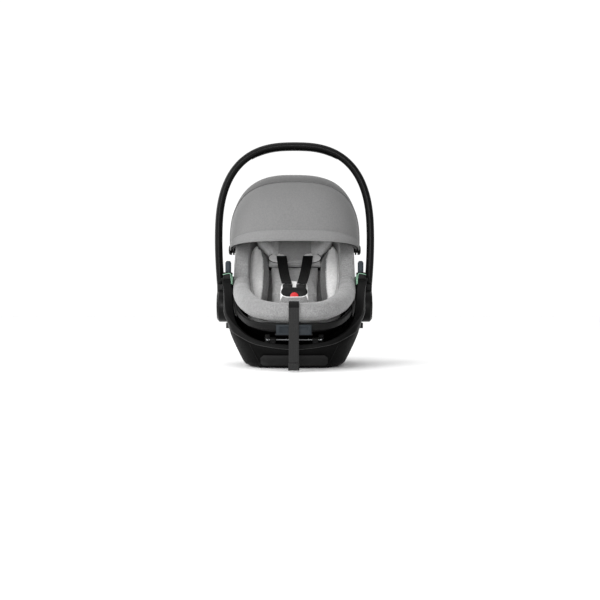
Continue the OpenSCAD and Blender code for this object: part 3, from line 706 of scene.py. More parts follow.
SMOOTH_PARTS = (("seat_shell", "inner"), ("handle_tube", "handle"), ("handle_grip", "handle"),
                ("front_trim", "trim"), ("canopy_front_bow", "inner"), ("canopy_mid_bow", "inner"))
HARD_PARTS = {
    "panel": (("front_cover", 1.2),),
    "inner": (("recline_rails", 1.0), ("recline_shoes", 1.0), ("rod_clamps", 1.0),
              ("guide_housing_left", 1.4), ("guide_housing_right", 1.4),
              ("adapter_socket_left", 1.4), ("adapter_socket_right", 1.4),
              ("hub_core_left", 0.3), ("hub_core_right", 0.3), ("handle_button_left", 2.0),
              ("handle_button_right", 2.0), ("adjuster_housing", 1.5), ("headrest_shell", 2.0)),
    "handle": (("hub_housing_left", 2.5), ("hub_housing_right", 2.5)),
    "slate": (("release_tab_left", 0.8), ("release_tab_right", 0.8),
              ("adjuster_button", 1.2), ("headrest_lever", 1.5)),
    "mint": (("belt_guide_left", 0.5), ("belt_guide_right", 0.5)),
    "red": (("buckle_button", 1.6),),
    "buckle": (("buckle_body", 1.2), ("buckle_tongues", 0.8)),
    "rubber": (("skid_pads", 1.0),),
    "steel": (("lock_bars", 0.8), ("pivot_bolts", 0.8), ("lock_gear_left", 0.3), ("lock_gear_right", 0.3),
              ("button_springs", 0.3), ("harness_yoke", 0.4)),
    "chrome": (("recline_rod", 0.5),),
    "slate_dark": (("recline_lever", 1.0),),
}


def make_hard_parts():
    for node, look in SMOOTH_PARTS:
        replace_smooth(node, MAT[look])
    for look, nodes in HARD_PARTS.items():
        for node, bevel in nodes:
            replace_hard(node, MAT[look], bevel)


make_hard_parts()


# ---- Carrying shell ----

# The shell's outline by height: half its width, and its reach forward and back from SHELL_MIDDLE
SHELL_HALF_W_AT = [(0, 121), (3, 129), (7, 133.5), (14, 138), (46, 153.5), (80, 168), (101, 174), (130, 176),
                   (205, 177.5), (243, 190)]
SHELL_FRONT_AT = [(0, 166), (6, 175), (18, 183), (60, 207), (101, 214), (243, 216)]
SHELL_REAR_AT = [(0, 162), (8, 176), (18, 186), (60, 214), (120, 240), (243, 278)]
SHELL_MIDDLE, SHELL_POWER, SHELL_FLOOR, SHELL_WALL = -20, 3.3, 3, 5
# Heights of the lip and of the band below it, by angle from the foot end
LIP_AT = [(0, 61), (22, 71), (43, 93), (65, 131), (78, 191), (87, 233), (95, 243), (110, 243)]
LIP_REAR_Z, LIP_ARM_Z = 222, 243
# Angles from the foot end: the arms, the start of the lower rear lip, the end of the band and the end of the
# painted highlight along its lower edge
ARM_START, ARM_END, REAR_START, BAND_END, PAINTED_HIGHLIGHT_END = 48, 87, 95, 96, 84
BAND_AT = [(0, 49), (15, 56), (30, 64.5), (49, 83), (65, 97), (83, 108), (100, 118), (130, 150), (180, 165)]


def shell_at(angle, z, out):
    """A point on the carrying shell's wall; out is how far it stands proud of the plain outline."""
    a = np.radians(angle)
    c, s = np.cos(a), np.sin(a)
    reach = np.where(c > 0, curve(z, SHELL_FRONT_AT), curve(z, SHELL_REAR_AT)) + out
    return np.stack([(curve(z, SHELL_HALF_W_AT) + out) * signed_pow(s, 2 / SHELL_POWER),
                     SHELL_MIDDLE - reach * signed_pow(c, 2 / SHELL_POWER), z], -1)


BAND_ROW, BAND_ROWS = 21, 15          # the wall's first row of faces in the band, and how many there are
BAND_PROUD, ARM_BULGE = 2.6, 10.5
SEAM_X, SEAM_TOP, SEAM_FOOT = 34, 62, 6
HUB_BOSS = [(160, 30), (160, 34), (176, 34), (176.8, 33.2), (176.8, 8)]
GUIDE_LINE = [(191, -70.9, 242.5), (182, -70.9, 245), (173, -70.9, 246), (169.9, -70.9, 243),
              (168.9, -70.9, 234), (167.8, -70.9, 218)]


def drawn_to_middle(row, share, z):
    """A row of the shell's points drawn in towards its middle, all at one height."""
    return np.stack([row[:, 0] * share, SHELL_MIDDLE + (row[:, 1] - SHELL_MIDDLE) * share, z], -1)


def make_base_shell():
    """The shell's wall with the raised band that runs round its lip and broadens up each arm."""
    turns = np.linspace(0, 360, 288, endpoint=False)
    fold = np.minimum(turns, 360 - turns)
    sinking = smooth01((fold - REAR_START) / (180 - REAR_START))
    lip = np.where(fold < REAR_START, curve(fold, LIP_AT),
                   LIP_REAR_Z + (LIP_ARM_Z - LIP_REAR_Z) * (1 - sinking))
    line = curve(fold, BAND_AT)
    inset = 9 - 2 * np.sin(np.radians(turns)) ** 2
    band = BAND_PROUD * (1 - smooth01((fold - BAND_END) / 10))
    arm = smooth01((fold - ARM_START) / 26) * (1 - smooth01((fold - ARM_END) / 3.2))

    def wall(z, k):
        """The outside at a height; k is how far the band's edge has been climbed."""
        bulge = ARM_BULGE * arm * smooth01((z - line - 2) / 40)
        bevel = inset * smooth01((z - lip + 26) / 26) * (1 - 0.75 * arm)
        return shell_at(turns, z, k * band + bulge - bevel)

    foot = shell_at(turns, np.zeros(len(turns)), 0)
    floor = np.full(len(turns), float(SHELL_FLOOR))
    rows = [drawn_to_middle(foot, share, floor) for share in (0.02, 0.3, 0.6, 0.85, 0.95)]
    for t in np.linspace(0, 1, 14):
        row = wall(t**1.25 * (line - 0.9), 0)
        row[:, 2] += SHELL_FLOOR * (1 - t)
        rows.append(row)
    rows += [wall(line - 0.5, 0), wall(line - 0.1, 0.55), wall(line + 0.5, 0.95), wall(line + 1.4, 1)]
    rows += [wall(line + 1.4 + (lip - line - 1.4) * t, 1)
             for t in (0.08, 0.18, 0.3, 0.42, 0.54, 0.66, 0.77, 0.86, 0.93, 0.97)]
    rows.append(wall(lip - 0.6, 1))
    crest = wall(lip, 1)
    inner = shell_at(turns, lip, -inset - SHELL_WALL)
    rows += [crest + (inner - crest) * u + [0, 0, lift - 0.3]
             for u, lift in ((0.12, 0.1), (0.5, 0.5), (0.88, 0.1))]
    for t in (0.98, 0.9, 0.7, 0.45, 0.2, 0.06, 0.0):
        z = (lip - 4) * t + (SHELL_FLOOR + SHELL_WALL) * (1 - t)
        rows.append(shell_at(turns, z, -SHELL_WALL - inset * smooth01((z - lip + 40) / 40)))
    rows.append(drawn_to_middle(rows[-1], 0.02, rows[-1][:, 2]))
    shell = lofted("carrying_shell", rows, MAT["shell"])
    shell.data.materials.append(MAT["band"])
    for face in shell.data.polygons[:len(turns) * (len(rows) - 1)]:
        row = face.vertices[0] // len(turns)
        face.material_index = int(BAND_ROW <= row < BAND_ROW + BAND_ROWS)
    cut_openings(shell)
    shell.data.set_sharp_from_angle(angle=math.radians(42))
    # A thin lighter tube along the band's lower edge is a painted highlight: it stands for the light line
    # that edge catches.
    right, left = turns < PAINTED_HIGHLIGHT_END, turns > 360 - PAINTED_HIGHLIGHT_END
    rim = np.roll(wall(line + 0.2, 0.9)[right | left], np.count_nonzero(left), axis=0)
    placed(tube("painted_lip_highlight_line", rim, 0.7, MAT["edge"]), "carrier")
    placed(shell, "carrier", "base_shell")


def make_shell_side(name, side):
    """A hub's boss, the block and green edge at the top of an arm, and a moulding seam."""
    placed(turned(f"hub_boss_{name}", side, HUB_BOSS, 20, 160, MAT["shell"]), "carrier")
    block = sorted_box(side, (167, 190), (-70, -24), (196, 231))
    placed(boxed(f"guide_block_{name}", block, 2.5, MAT["shell"]), "carrier")
    edge = through([(side * x, y, z) for x, y, z in GUIDE_LINE], 40)
    placed(ribbon(f"belt_guide_edge_{name}", edge, (0, 1, 0), 2.4, 1.6, MAT["mint"]), "carrier")
    seam = [shell_at(side * (SEAM_X - 5.5 * t), SEAM_TOP + (SEAM_FOOT - SEAM_TOP) * t, 0.15)
            for t in np.linspace(0, 1, 12)]
    placed(tube(f"shell_seam_{name}", seam, 0.75, MAT["inner"]), "carrier")


def sorted_box(side, xs, ys, zs):
    xs = sorted(side * x for x in xs)
    return [(x, y, z) for x in xs for y in ys for z in zs]


def boxed(name, corners, bevel, material):
    """A block with rounded edges from its eight corners, ordered by X, then Y, then Z."""
    faces = [(0, 1, 3, 2), (4, 6, 7, 5), (0, 4, 5, 1), (2, 3, 7, 6), (0, 2, 6, 4), (1, 5, 7, 3)]
    block = new_piece(name, corners, faces, material)
    face_outwards(block)
    return bevelled(block, bevel, 4)


def turned(name, side, profile, y, z, material, flat=(1.0, 1.0)):
    """A shape turned about X: profile rows are distance along X and radius; flat scales its Y and Z."""
    turn = np.linspace(0, 2 * math.pi, 72, endpoint=False)
    rings = [np.stack([np.full(len(turn), side * x), y + r * flat[0] * np.cos(turn),
                       z + r * flat[1] * np.sin(turn)], -1) for x, r in profile]
    piece = lofted(name, rings, material)
    piece.data.set_sharp_from_angle(angle=math.radians(40))
    return piece


def cut_openings(shell):
    """Cuts the latch slots in the floor."""
    for y in (-95, 60):
        cutter = boxed("slot", sorted_box(1, (-55, 55), (y - 17, y + 17), (-2, 20)), 3, MAT["shell"])
        modified(shell, "BOOLEAN", object=cutter, operation="DIFFERENCE", solver="EXACT")
        bpy.data.objects.remove(cutter)
    shell.data.shade_smooth()


make_base_shell()
for side_name, side_sign in SIDES:
    make_shell_side(side_name, side_sign)


# ---- Seat cover: one skin from outside each wing, over its edge and down into the seat ----

SEAT_HALF_W, SEAT_FRONT, SEAT_REAR = 156, 328, 295
SEAT_POWER, SEAT_HEAD_POWER, LINER_HEAD_POWER = 2.6, 3.4, 5
BOWL_POWER, LINER_POWER = 2.6, 7
LINER_SIZE = (126, 288, 272)
SEAT_EDGE_Z = [(-328, 117), (-284, 123), (-232, 137), (-133, 162), (-70, 178), (-44, 204), (-8, 280),
               (40, 336), (100, 369), (180, 386), (240, 381), (295, 358)]
SEAT_KEEL_Z = [(-328, 90), (-280, 86), (-230, 88), (-180, 90), (-140, 86), (-90, 74), (-40, 64), (10, 60),
               (50, 68), (85, 94), (130, 138), (200, 214), (260, 278), (295, 315)]
LINER_KEEL_Z = [(-288, 128), (-240, 114), (-150, 103), (-40, 98), (20, 98), (52, 112), (85, 152),
                (120, 190), (200, 275), (272, 351)]


def plan(angle, half_w, front, rear, head_power):
    """A rounded outline; angle 0 is the foot end and 90 is +X, in degrees."""
    a = np.radians(angle)
    power = np.where(np.cos(a) > 0, SEAT_POWER, head_power)
    reach = np.where(np.cos(a) > 0, front, rear)
    return half_w * signed_pow(np.sin(a), 2 / power), -reach * signed_pow(np.cos(a), 2 / power)


def bowl(angle, r, size, head_power, keel, power, lift=0.0):
    """A point on the seat's bowl, r from 0 on its keel to 1 at its edge."""
    _, edge_y = plan(angle, SEAT_HALF_W, SEAT_FRONT, SEAT_REAR, SEAT_POWER)
    x, y = plan(angle, size[0] * r, size[1] * r, size[2] * r, head_power)
    low = curve(y, keel)
    rise = 1 - (1 - np.minimum(r, 1) ** power) ** (1 / power)
    return np.stack([x, y, low + (curve(edge_y, SEAT_EDGE_Z) - low) * rise + lift], -1)


COVER_START = 81          # where the cover comes out from under the padded rim, in degrees
COVER_CROWN = 7           # how far its padding stands above the wing's edge
COVER_SIZE = (SEAT_HALF_W + 5.8, SEAT_FRONT + 3, SEAT_REAR + 8)
PIPING_START = 83         # where the piping on its crown starts
LINER_STEPS = (1.0, 0.995, 0.98, 0.94, 0.88, 0.8, 0.7, 0.58, 0.45, 0.3, 0.15, 0.03)


def lining(turns, lift):
    """The inside of the seat, from its edge down to its keel."""
    return [bowl(turns, r, LINER_SIZE, LINER_HEAD_POWER, LINER_KEEL_Z, LINER_POWER, lift)
            for r in LINER_STEPS]


def make_seat_cover():
    turns = np.linspace(COVER_START, 360 - COVER_START, 190)
    depth = 0.16 + 0.84 * smooth01((np.minimum(turns, 360 - turns) - 86) / 16)
    outside = [bowl(turns, 1 - drop * depth, COVER_SIZE, SEAT_HEAD_POWER, SEAT_KEEL_Z, BOWL_POWER, -3)
               for drop in (0.20, 0.15, 0.1, 0.06, 0.03, 0.01, 0.0)]
    inside = lining(turns, 1.0)
    edge, start = outside[-1], inside[0]
    crown = []
    for u in np.linspace(0, 1, 11)[1:-1]:
        across = (1 - math.cos(math.pi * u)) / 2
        crown.append(edge + (start - edge) * across + [0, 0, COVER_CROWN * math.sin(math.pi * u) ** 0.7])
    cover = sheet_piece("seat_cover", np.array(outside + crown + inside), 2.5, MAT["melange"])
    subdivided(cover)
    rumpled(cover, 60, 0.5, seed=3)
    placed_pad(cover, "seat", 0.4, "foam_liner", "side_cover_left", "side_cover_right")
    foot = np.linspace(-COVER_START - 4, COVER_START + 4, 100)
    foot_lining = sheet_piece("foot_lining", lining(foot, 0.6), 2.5, MAT["melange"])
    rumpled(foot_lining, 50, 0.4, seed=4)
    placed_pad(foot_lining, "seat", 0.4)
    placed(tube("cover_edge_cord", outside[0] + [0, 0, 0.5], 1.6, MAT["dark_melange_and_painted_shade"]), "seat")
    keep = (turns > PIPING_START) & (turns < 360 - PIPING_START)
    placed(tube("cover_ridge_piping", crown[1][keep] + [0, 0, 0.8], 1.3, MAT["dark_melange_and_painted_shade"]), "seat")


make_seat_cover()


# ---- Padded rim ----

RIM_LINE_Z = [(-309.5, 144.5), (-269, 153), (-220, 166), (-126, 189), (-60, 203), (-20, 209)]
RIM_HALF_W, RIM_FRONT, RIM_POWER, RIM_SWEEP = 141, 309.5, 2.5, 78
RIM_WIDTH, RIM_HEIGHT = 52, 49
# A sewn seam across the rim, by place along it and angle round it
RIM_CROSS_SEAM = ((0.62, 160), (0.645, 115), (0.67, 70), (0.695, 25), (0.71, -25))
RIM_TIP = [(140.5, -66, 207), (140.5, -52, 213), (140, -38, 222), (139.5, -28, 231)]


def rim_path():
    """The rim's middle line from its left tip on the wing round the foot end to its right tip."""
    a = np.radians(np.linspace(-RIM_SWEEP, RIM_SWEEP, 61))
    x = RIM_HALF_W * signed_pow(np.sin(a), 2 / RIM_POWER)
    y = -RIM_FRONT * signed_pow(np.cos(a), 2 / RIM_POWER)
    front = np.stack([x, y, curve(y, RIM_LINE_Z)], -1)
    tip = np.array(RIM_TIP, float)
    path = np.vstack([tip[::-1] * [-1, 1, 1], front, tip])
    return through(path, 121)


RIM_PATH = rim_path()


def rim_at(k, turn, scale=1.0):
    """A point on the rim: k goes along it from -1 to 1, turn round its section, 0 outwards and 90 up."""
    i = (k + 1) / 2 * (len(RIM_PATH) - 1)
    behind, at, ahead = (np.array([np.interp(j, range(len(RIM_PATH)), RIM_PATH[:, c]) for c in range(3)])
                         for j in (i - 1, i, i + 1))
    d = unit(ahead - behind)
    out = unit(np.array([d[1], -d[0], 0.0]))
    up = np.cross(out, d)
    up = up if up[2] > 0 or abs(up[2]) < 0.3 else -up
    t = math.radians(turn)
    taper = 1 - 0.12 * float(smooth01((abs(k) - 0.8) / 0.2))
    u = RIM_WIDTH / 2 * scale * taper * signed_pow(math.cos(t), 0.88)
    v = RIM_HEIGHT / 2 * scale * taper * signed_pow(math.sin(t), 0.88)
    return at + out * u + up * v


def make_padded_rim():
    turns = np.linspace(0, 360, 28, endpoint=False)
    rings = []
    for k in np.linspace(-1, 1, 90):
        end = max(0.0, (abs(k) - 0.955) / 0.045)
        rings.append([rim_at(k, t, 0.95 * math.sqrt(max(0.05, 1 - end**2))) for t in turns])
    rim = lofted("rim_pad", rings, MAT["melange"])
    stuffed(rim, voxel=4.5, smoothing=0, pressure=3.0, cap=5, settling=2)
    sweep = np.linspace(-0.93, 0.93, 60)
    inner = [rim_at(k, 150) for k in sweep]
    outer = [rim_at(k, -38) for k in sweep]
    cross = [[rim_at(side * k, t) for k, t in RIM_CROSS_SEAM] for side in (-1, 1)]
    grooved(rim, [inner, outer] + cross, 2.6, 1.5)
    rumpled(rim, 45, 0.45, seed=5)
    placed_pad(rim, "seat", 0.8, "padded_rim")
    for i, line in enumerate((inner, outer)):
        stitches(f"rim_stitch_{i}", rim, line, MAT["thread"], "seat", pitch=4.5)
    for i, line in enumerate(cross):
        stitches(f"rim_cross_stitch_{i}", rim, line, MAT["pale_thread"], "seat", pitch=3.6)


make_padded_rim()


# ---- Cushions against the backrest ----

BACK_Y, BACK_Z, BACK_ANGLE = 32, 98, math.radians(46.5)


def on_back(x, up, off):
    """A point by its distance up the backrest and out from it."""
    c, s = math.cos(BACK_ANGLE), math.sin(BACK_ANGLE)
    return np.array([x, BACK_Y + up * c - off * s, BACK_Z + up * s + off * c])


INSERT_RISE = 10          # how much the insert's top edge is drawn up to meet the headrest
INSERT_SPREAD = 1.05      # how much wider its padding swells towards the bolsters


def make_insert():
    pad = copy_of("infant_insert", "insert_pad", MAT["melange_light"], into_flats)
    stuffed(pad, voxel=4.0, smoothing=6, pressure=4.0, cap=6, settling=2, drawn_in=1.5)
    pad.data.shade_smooth()
    upwards = on_back(0, 1, 0) - on_back(0, 0, 0)
    co = points_of(pad) * [INSERT_SPREAD, 1, 1]
    up = (co / MM - on_back(0, 0, 0)) @ upwards
    set_points(pad, co + np.outer(INSERT_RISE * smooth01((up - 120) / 70), upwards) * MM)
    lines = [[on_back(x, up + sag, 40) for x, sag in ((-60, 6), (0, 0), (60, 6))] for up in (34, 86, 138)]
    lines += [[(x, y, 142) for x in (-60, 0, 60)] for y in (-40, -100, -150)]
    lines += [[(x, y, 142) for y in (-186, -100, 10)] for x in (-24, 24)]
    lines += [[on_back(x, up, 40) for up in (25, 100, 188)] for x in (-24, 24)]
    grooved(pad, lines, 3.2, 2.6)
    rumpled(pad, 40, 0.5, seed=7)
    placed_pad(pad, "seat", 0.6, "infant_insert")


BOLSTER_LOW, BOLSTER_HIGH = 18, 242
# How far the inner and outer faces stand from the middle, by distance up the backrest
BOLSTER_IN_AT = [(18, 84), (45, 76), (100, 72), (160, 72), (190, 75), (212, 83), (232, 95), (242, 103)]
BOLSTER_OUT_AT = [(18, 109), (45, 119), (94, 127), (140, 130), (175, 129), (205, 125), (230, 119),
                  (242, 112)]
BOLSTER_OFF, BOLSTER_HALF_OFF = 66, 25          # its middle off the backrest, and half its depth
# Its two seams: across, up the backrest and out from it
BOLSTER_FRONT = ((112, 40, 90), (118, 80, 92), (121.5, 140, 92), (120, 190, 90), (115, 226, 82),
                 (109, 240, 70))
BOLSTER_INNER = ((91, 26, 86), (87, 70, 90), (87, 130, 91), (89, 180, 90), (96, 216, 86), (104, 238, 72))


def bolster_ring(side, k):
    """One section of a bolster, k from 0 at its foot to 1 at its top."""
    up = BOLSTER_LOW + (BOLSTER_HIGH - BOLSTER_LOW) * (1 - math.cos(math.pi * k)) / 2
    swell = (1 - (2 * k - 1) ** 4) ** 0.5
    inner, outer = float(curve(up, BOLSTER_IN_AT)), float(curve(up, BOLSTER_OUT_AT))
    half_off = BOLSTER_HALF_OFF * (0.2 + 0.8 * swell)
    ring = []
    for t in np.linspace(0, 2 * math.pi, 34, endpoint=False):
        across = signed_pow(math.cos(t), 0.9)
        x = (inner + outer) / 2 + (outer - inner) / 2 * (0.5 + 0.5 * swell) * across
        off = BOLSTER_OFF + half_off * signed_pow(math.sin(t), 0.9) + 5 * swell * across
        ring.append(on_back(side * x, up, off))
    return ring


def make_bolster(label, side):
    """A bolster, pale outside its inner seam, with a darker knit inside it as painted shade on its inner
    face.
    """
    ks = [0.02, *np.linspace(0.06, 0.94, 26), 0.98]
    pad = lofted(f"bolster_pad_{label}", [bolster_ring(side, k) for k in ks], MAT["pale"])
    stuffed(pad, voxel=4.0, smoothing=3, pressure=4.0, cap=5, settling=1)
    front, inner = ([on_back(side * x, up, off) for x, up, off in seam]
                    for seam in (BOLSTER_FRONT, BOLSTER_INNER))
    grooved(pad, [front, inner], 2.4, 1.6)
    rumpled(pad, 35, 0.5, seed=11)
    pad.data.materials.append(MAT["dark_melange_and_painted_shade"])
    # Faces inside the inner seam get the darker knit: painted shade where the inner face turns away from the
    # light.
    seam_x, seam_up = [abs(p[0]) for p in inner], [p[2] for p in inner]
    for face in pad.data.polygons:
        middle = face.center / MM
        face.material_index = int(abs(middle.x) < np.interp(middle.z, seam_up, seam_x))
    placed_pad(pad, "seat", 0.7, f"bolster_{label}")
    piping(f"bolster_piping_{label}", pad, front, 0.8, MAT["melange_light"], "seat", lift=0.2)
    piping(f"bolster_seam_{label}", pad, inner, 0.9, MAT["melange_light"], "seat", lift=0.1)


make_insert()
for side_name, side_sign in SIDES:
    make_bolster(side_name, side_sign)


# ---- Headrest ----

HEAD_LOW, HEAD_HIGH = 200, 325
HEAD_HALF_W, WING_W, WING_CURL = 77, 33, 36     # half its foot's width, what a wing adds, how far it curls
WING_UP, WING_IN, WING_CLOTH = 236, 52, 48      # where a wing starts, up and across, and its paler cloth
HEAD_FRONT, HEAD_BACK = 46, 27.5                # off the backrest
GUIDE_X, GUIDE_UP, GUIDE_OFF = 43.5, 227, 46
GUIDE_HALF_W, GUIDE_HALF_H = 32, 20
# A guide's section from its edge to its middle: height off the headrest, and share of its size
GUIDE_RINGS = ((0.3, 0.97), (1.2, 1.0), (2.4, 0.98), (3.4, 0.9), (4.0, 0.72), (4.1, 0.4), (4.1, 0.08))


def headrest_ring(up):
    """One section across the headrest: a flat middle with a wing curling forward at each side."""
    wide = float(smooth01((up - WING_UP) / 34))
    half = HEAD_HALF_W + WING_W * wide
    xs = np.linspace(-1, 1, 33) * half
    bend = WING_CURL * wide * smooth01((np.abs(xs) - WING_IN) / WING_IN)
    front = [on_back(x, up, HEAD_FRONT + b - 3 * (abs(x) / half) ** 6) for x, b in zip(xs, bend)]
    back = [on_back(x, up, HEAD_BACK + 0.75 * b) for x, b in zip(xs[::-1], bend[::-1])]
    return front + back


def make_headrest():
    ups = np.linspace(HEAD_LOW + 2, HEAD_HIGH - 2, 30)
    pad = lofted("headrest_cushion", [headrest_ring(u) for u in ups], MAT["headrest"])
    pad.data.materials.append(MAT["melange_light"])
    stuffed(pad, voxel=4.0, smoothing=8, pressure=4.0, cap=4, settling=1)
    lines = [[on_back(s * x, up, off) for x, up, off in seam]
             for seam in (((47, HEAD_LOW + 4, 46), (46, 262, 47), (49, HEAD_HIGH - 4, 46)),
                          ((72, 238, 46), (74, 280, 50), (74, HEAD_HIGH - 4, 50))) for s in (-1, 1)]
    lines += [[on_back(x, HEAD_LOW + 9, 46) for x in (-72, -36, 0, 36, 72)]]
    grooved(pad, lines, 2.8, 2.4)
    rumpled(pad, 45, 0.6, seed=13)
    for face in pad.data.polygons:
        face.material_index = int(abs(face.center.x) > WING_CLOTH * MM)
    placed_pad(pad, "headrest", 0.6, "headrest_pad")
    for i, line in enumerate(lines[:2]):
        stitches(f"headrest_stitch_{i}", pad, line, MAT["thread"], "headrest", pitch=4.4)


def ellipse(x, up, off, rx, ry, count):
    return [on_back(x + rx * math.cos(t), up + ry * math.sin(t), off)
            for t in np.linspace(0, 2 * math.pi, count)]


def make_strap_guides():
    """Padded ovals with a dark binding, where the straps leave the headrest."""
    for i, side in enumerate((-1, 1)):
        x = side * GUIDE_X
        rings = [ellipse(x, GUIDE_UP, GUIDE_OFF + off, GUIDE_HALF_W * k, GUIDE_HALF_H * k, 41)[:-1]
                 for off, k in GUIDE_RINGS]
        oval = lofted(f"strap_guide_{i}", rings, MAT["pale"])
        subdivided(oval)
        placed_pad(oval, "headrest", 0.5, *(["strap_guides"] if i == 0 else []))
        rim = ellipse(x, GUIDE_UP, GUIDE_OFF + 1.6, GUIDE_HALF_W + 0.2, GUIDE_HALF_H + 0.2, 48)
        placed(tube(f"guide_binding_{i}", rim, 1.1, MAT["inner"]), "headrest")


make_headrest()
make_strap_guides()


# ---- Harness ----

BUCKLE_Y, BUCKLE_Z, BUCKLE_TILT = -118, 143, math.radians(-14)
# Crotch pad: half width, the height of its tip, its back's and its pocket's foot and the pocket's top
PAD_HALF_W, PAD_TIP, PAD_FOOT, POCKET_FOOT, POCKET_TOP = 37, 90, 8, 5, 37
PAD_BACK, POCKET_FRONT = 15, -21
PAD_BACK_SHARE, PAD_FOOT_SHARE = 0.45, 0.6      # where along its length the back and the foot end
STRAP_TOP, STRAP_FOOT, STRAP_SAG = (38, 151, 301), (19.5, -100, 219), 10


def at_buckle(x, y, z):
    """A point by the buckle's own tilted directions."""
    c, s = math.cos(BUCKLE_TILT), math.sin(BUCKLE_TILT)
    return np.array([x, BUCKLE_Y + y * c - z * s, BUCKLE_Z + y * s + z * c])


def make_shoulder_strap(label, side):
    top, foot = np.array(STRAP_TOP, float), np.array(STRAP_FOOT, float)
    t = np.linspace(0, 1, 60)[:, None]
    line = top + (foot - top) * t - np.array([0, 0, STRAP_SAG]) * 4 * t * (1 - t)
    line[:, 0] *= side
    strap = ribbon(f"shoulder_webbing_{label}", line, (1, -0.06 * side, 0), 29 - 2 * t[:, 0], 1.9,
                   MAT["webbing"])
    placed(strap, "seat", f"shoulder_strap_{label}")


BUTTON_AIR = 0.4          # left behind the red button when it is pushed right in


def make_room_for_button():
    """Draws in the back of the red button, so that it stops just short of its recess."""
    button = bpy.data.objects["buckle_button_form"]
    inwards = at_buckle(0, 1, 0) - at_buckle(0, 0, 0)
    depth = (points_of(button) / MM - at_buckle(0, 0, 0)) @ inwards
    set_points(button, points_of(button) - np.outer(BUTTON_AIR * smooth01((depth + 9) / 2), inwards) * MM)


def make_crotch_strap():
    line = [at_buckle(0, 0, z) for z in np.linspace(-14, 32, 20)]
    strap = ribbon("crotch_webbing", line, (1, 0, 0), 29, 1.9, MAT["webbing"])
    placed(strap, "seat", "crotch_strap")


def crotch_pad_at(u, v):
    """A point of the crotch pad: u goes across it, v down its back, under the buckle and up its pocket."""
    if v < PAD_BACK_SHARE:
        z = PAD_TIP + (PAD_FOOT - PAD_TIP) * v / PAD_BACK_SHARE
        rounding = (1 - max(0.0, (z - 56) / 38) ** 3.2) ** (1 / 2.2)
        half = PAD_HALF_W * rounding - 3 * float(smooth01((34 - z) / 30))
        return at_buckle(u * half, PAD_BACK + 2 * u * u + 24 * float(smooth01((z - 66) / 30)), z)
    if v < PAD_FOOT_SHARE:
        k = (v - PAD_BACK_SHARE) / (PAD_FOOT_SHARE - PAD_BACK_SHARE)
        return at_buckle(u * (PAD_HALF_W - 3 + 4.5 * k), PAD_BACK + (POCKET_FRONT - PAD_BACK) * k,
                         PAD_FOOT - 7 * math.sin(math.pi * k) - (PAD_FOOT - POCKET_FOOT) * k)
    k = (v - PAD_FOOT_SHARE) / (1 - PAD_FOOT_SHARE)
    top = POCKET_TOP + 15 * abs(u) ** 5
    return at_buckle(u * (PAD_HALF_W + 1.5 - 2 * k**3), POCKET_FRONT + (6 * u * u + 9 * abs(u) ** 6) * k,
                     POCKET_FOOT + (top - POCKET_FOOT) * k)


def make_crotch_pad():
    """A soft pad behind the buckle that turns up in front of it as an open pocket."""
    rows = [[crotch_pad_at(u, v) for u in np.linspace(-1, 1, 25)] for v in np.linspace(0, 1, 34)]
    pad = sheet_piece("crotch_cushion", rows, -5.5, MAT["pale"])
    pad.data.materials.append(MAT["melange"])
    remeshed(pad, 2.2)
    relaxed(pad, 5)
    subdivided(pad)
    rumpled(pad, 30, 0.3, seed=17)
    pocket = at_buckle(0, -14, 0)
    for face in pad.data.polygons:
        place = face.center / MM
        lean = (place.z - pocket[2]) * math.tan(-BUCKLE_TILT)
        face.material_index = int(place.y < pocket[1] + lean)
    placed_pad(pad, "seat", 0.4, "crotch_pad")
    piping("crotch_pocket_piping", pad, rows[-1][::3], 1.1, MAT["pale"], "seat", lift=0.3)


for side_name, side_sign in SIDES:
    make_shoulder_strap(side_name, side_sign)
make_room_for_button()
make_crotch_strap()
make_crotch_pad()


# ---- Canopy ----

CANOPY_Y, CANOPY_Z = 126, 315
CANOPY_R, CANOPY_POWER = 209, 2.74
FRONT_FOLD, SEAM_FOLD, REAR_FOLD = 5.3, 64, 176
HEM_FOLD = 13.5
FRONT_R, FRONT_HALF_W, REAR_HALF_W = 204.5, 183.0, 184.8
FRONT_DIP, FRONT_PULL, REAR_DIP = 3.0, 0.55, 2.5
CANOPY_START = 1.4        # where the arch starts beside a pivot, in degrees
CANOPY_DOME = 14          # how far the rear cloth stands up behind the middle bow
CANOPY_NARROW = 1.9       # how much the cloth is drawn in towards its pivots


def canopy_at(t, fold, r, half_w):
    """A point of the canopy: t goes over the arch, fold from its front edge to its back."""
    h = r * math.sin(math.radians(t)) ** (2 / CANOPY_POWER)
    x = half_w * signed_pow(math.cos(math.radians(t)), 2 / CANOPY_POWER)
    f = math.radians(fold)
    return np.array([x, CANOPY_Y - h * math.cos(f), CANOPY_Z + h * math.sin(f)])


def canopy_rows(folds, radius, half_w, count=97):
    """A grid over the canopy; radius and half_w are functions of t and fold."""
    return np.array([[canopy_at(t, f, radius(t, f), half_w(t, f))
                      for t in np.linspace(CANOPY_START, 180 - CANOPY_START, count)] for f in folds])


def fold_of(co):
    """The fold angle of points, in degrees."""
    return np.degrees(np.arctan2(co[:, 2] / MM - CANOPY_Z, -(co[:, 1] / MM - CANOPY_Y)))


def blend_by_fold(piece, fold_still, fold_moving):
    """Bakes the piece's placement into its points and works out each point's share between two fold angles;
    nothing uses that share, and the piece rides on no body.
    """
    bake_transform(piece)
    share = (fold_of(points_of(piece)) - fold_still) / (fold_moving - fold_still)


def narrowing(t):
    return CANOPY_NARROW * float(smooth01(1 - math.sin(math.radians(t)) / 0.75))


def front_share(f):
    """How far back a fold angle is between the front bow and the middle bow, from 0 to 1."""
    return (f - FRONT_FOLD) / (SEAM_FOLD - FRONT_FOLD)


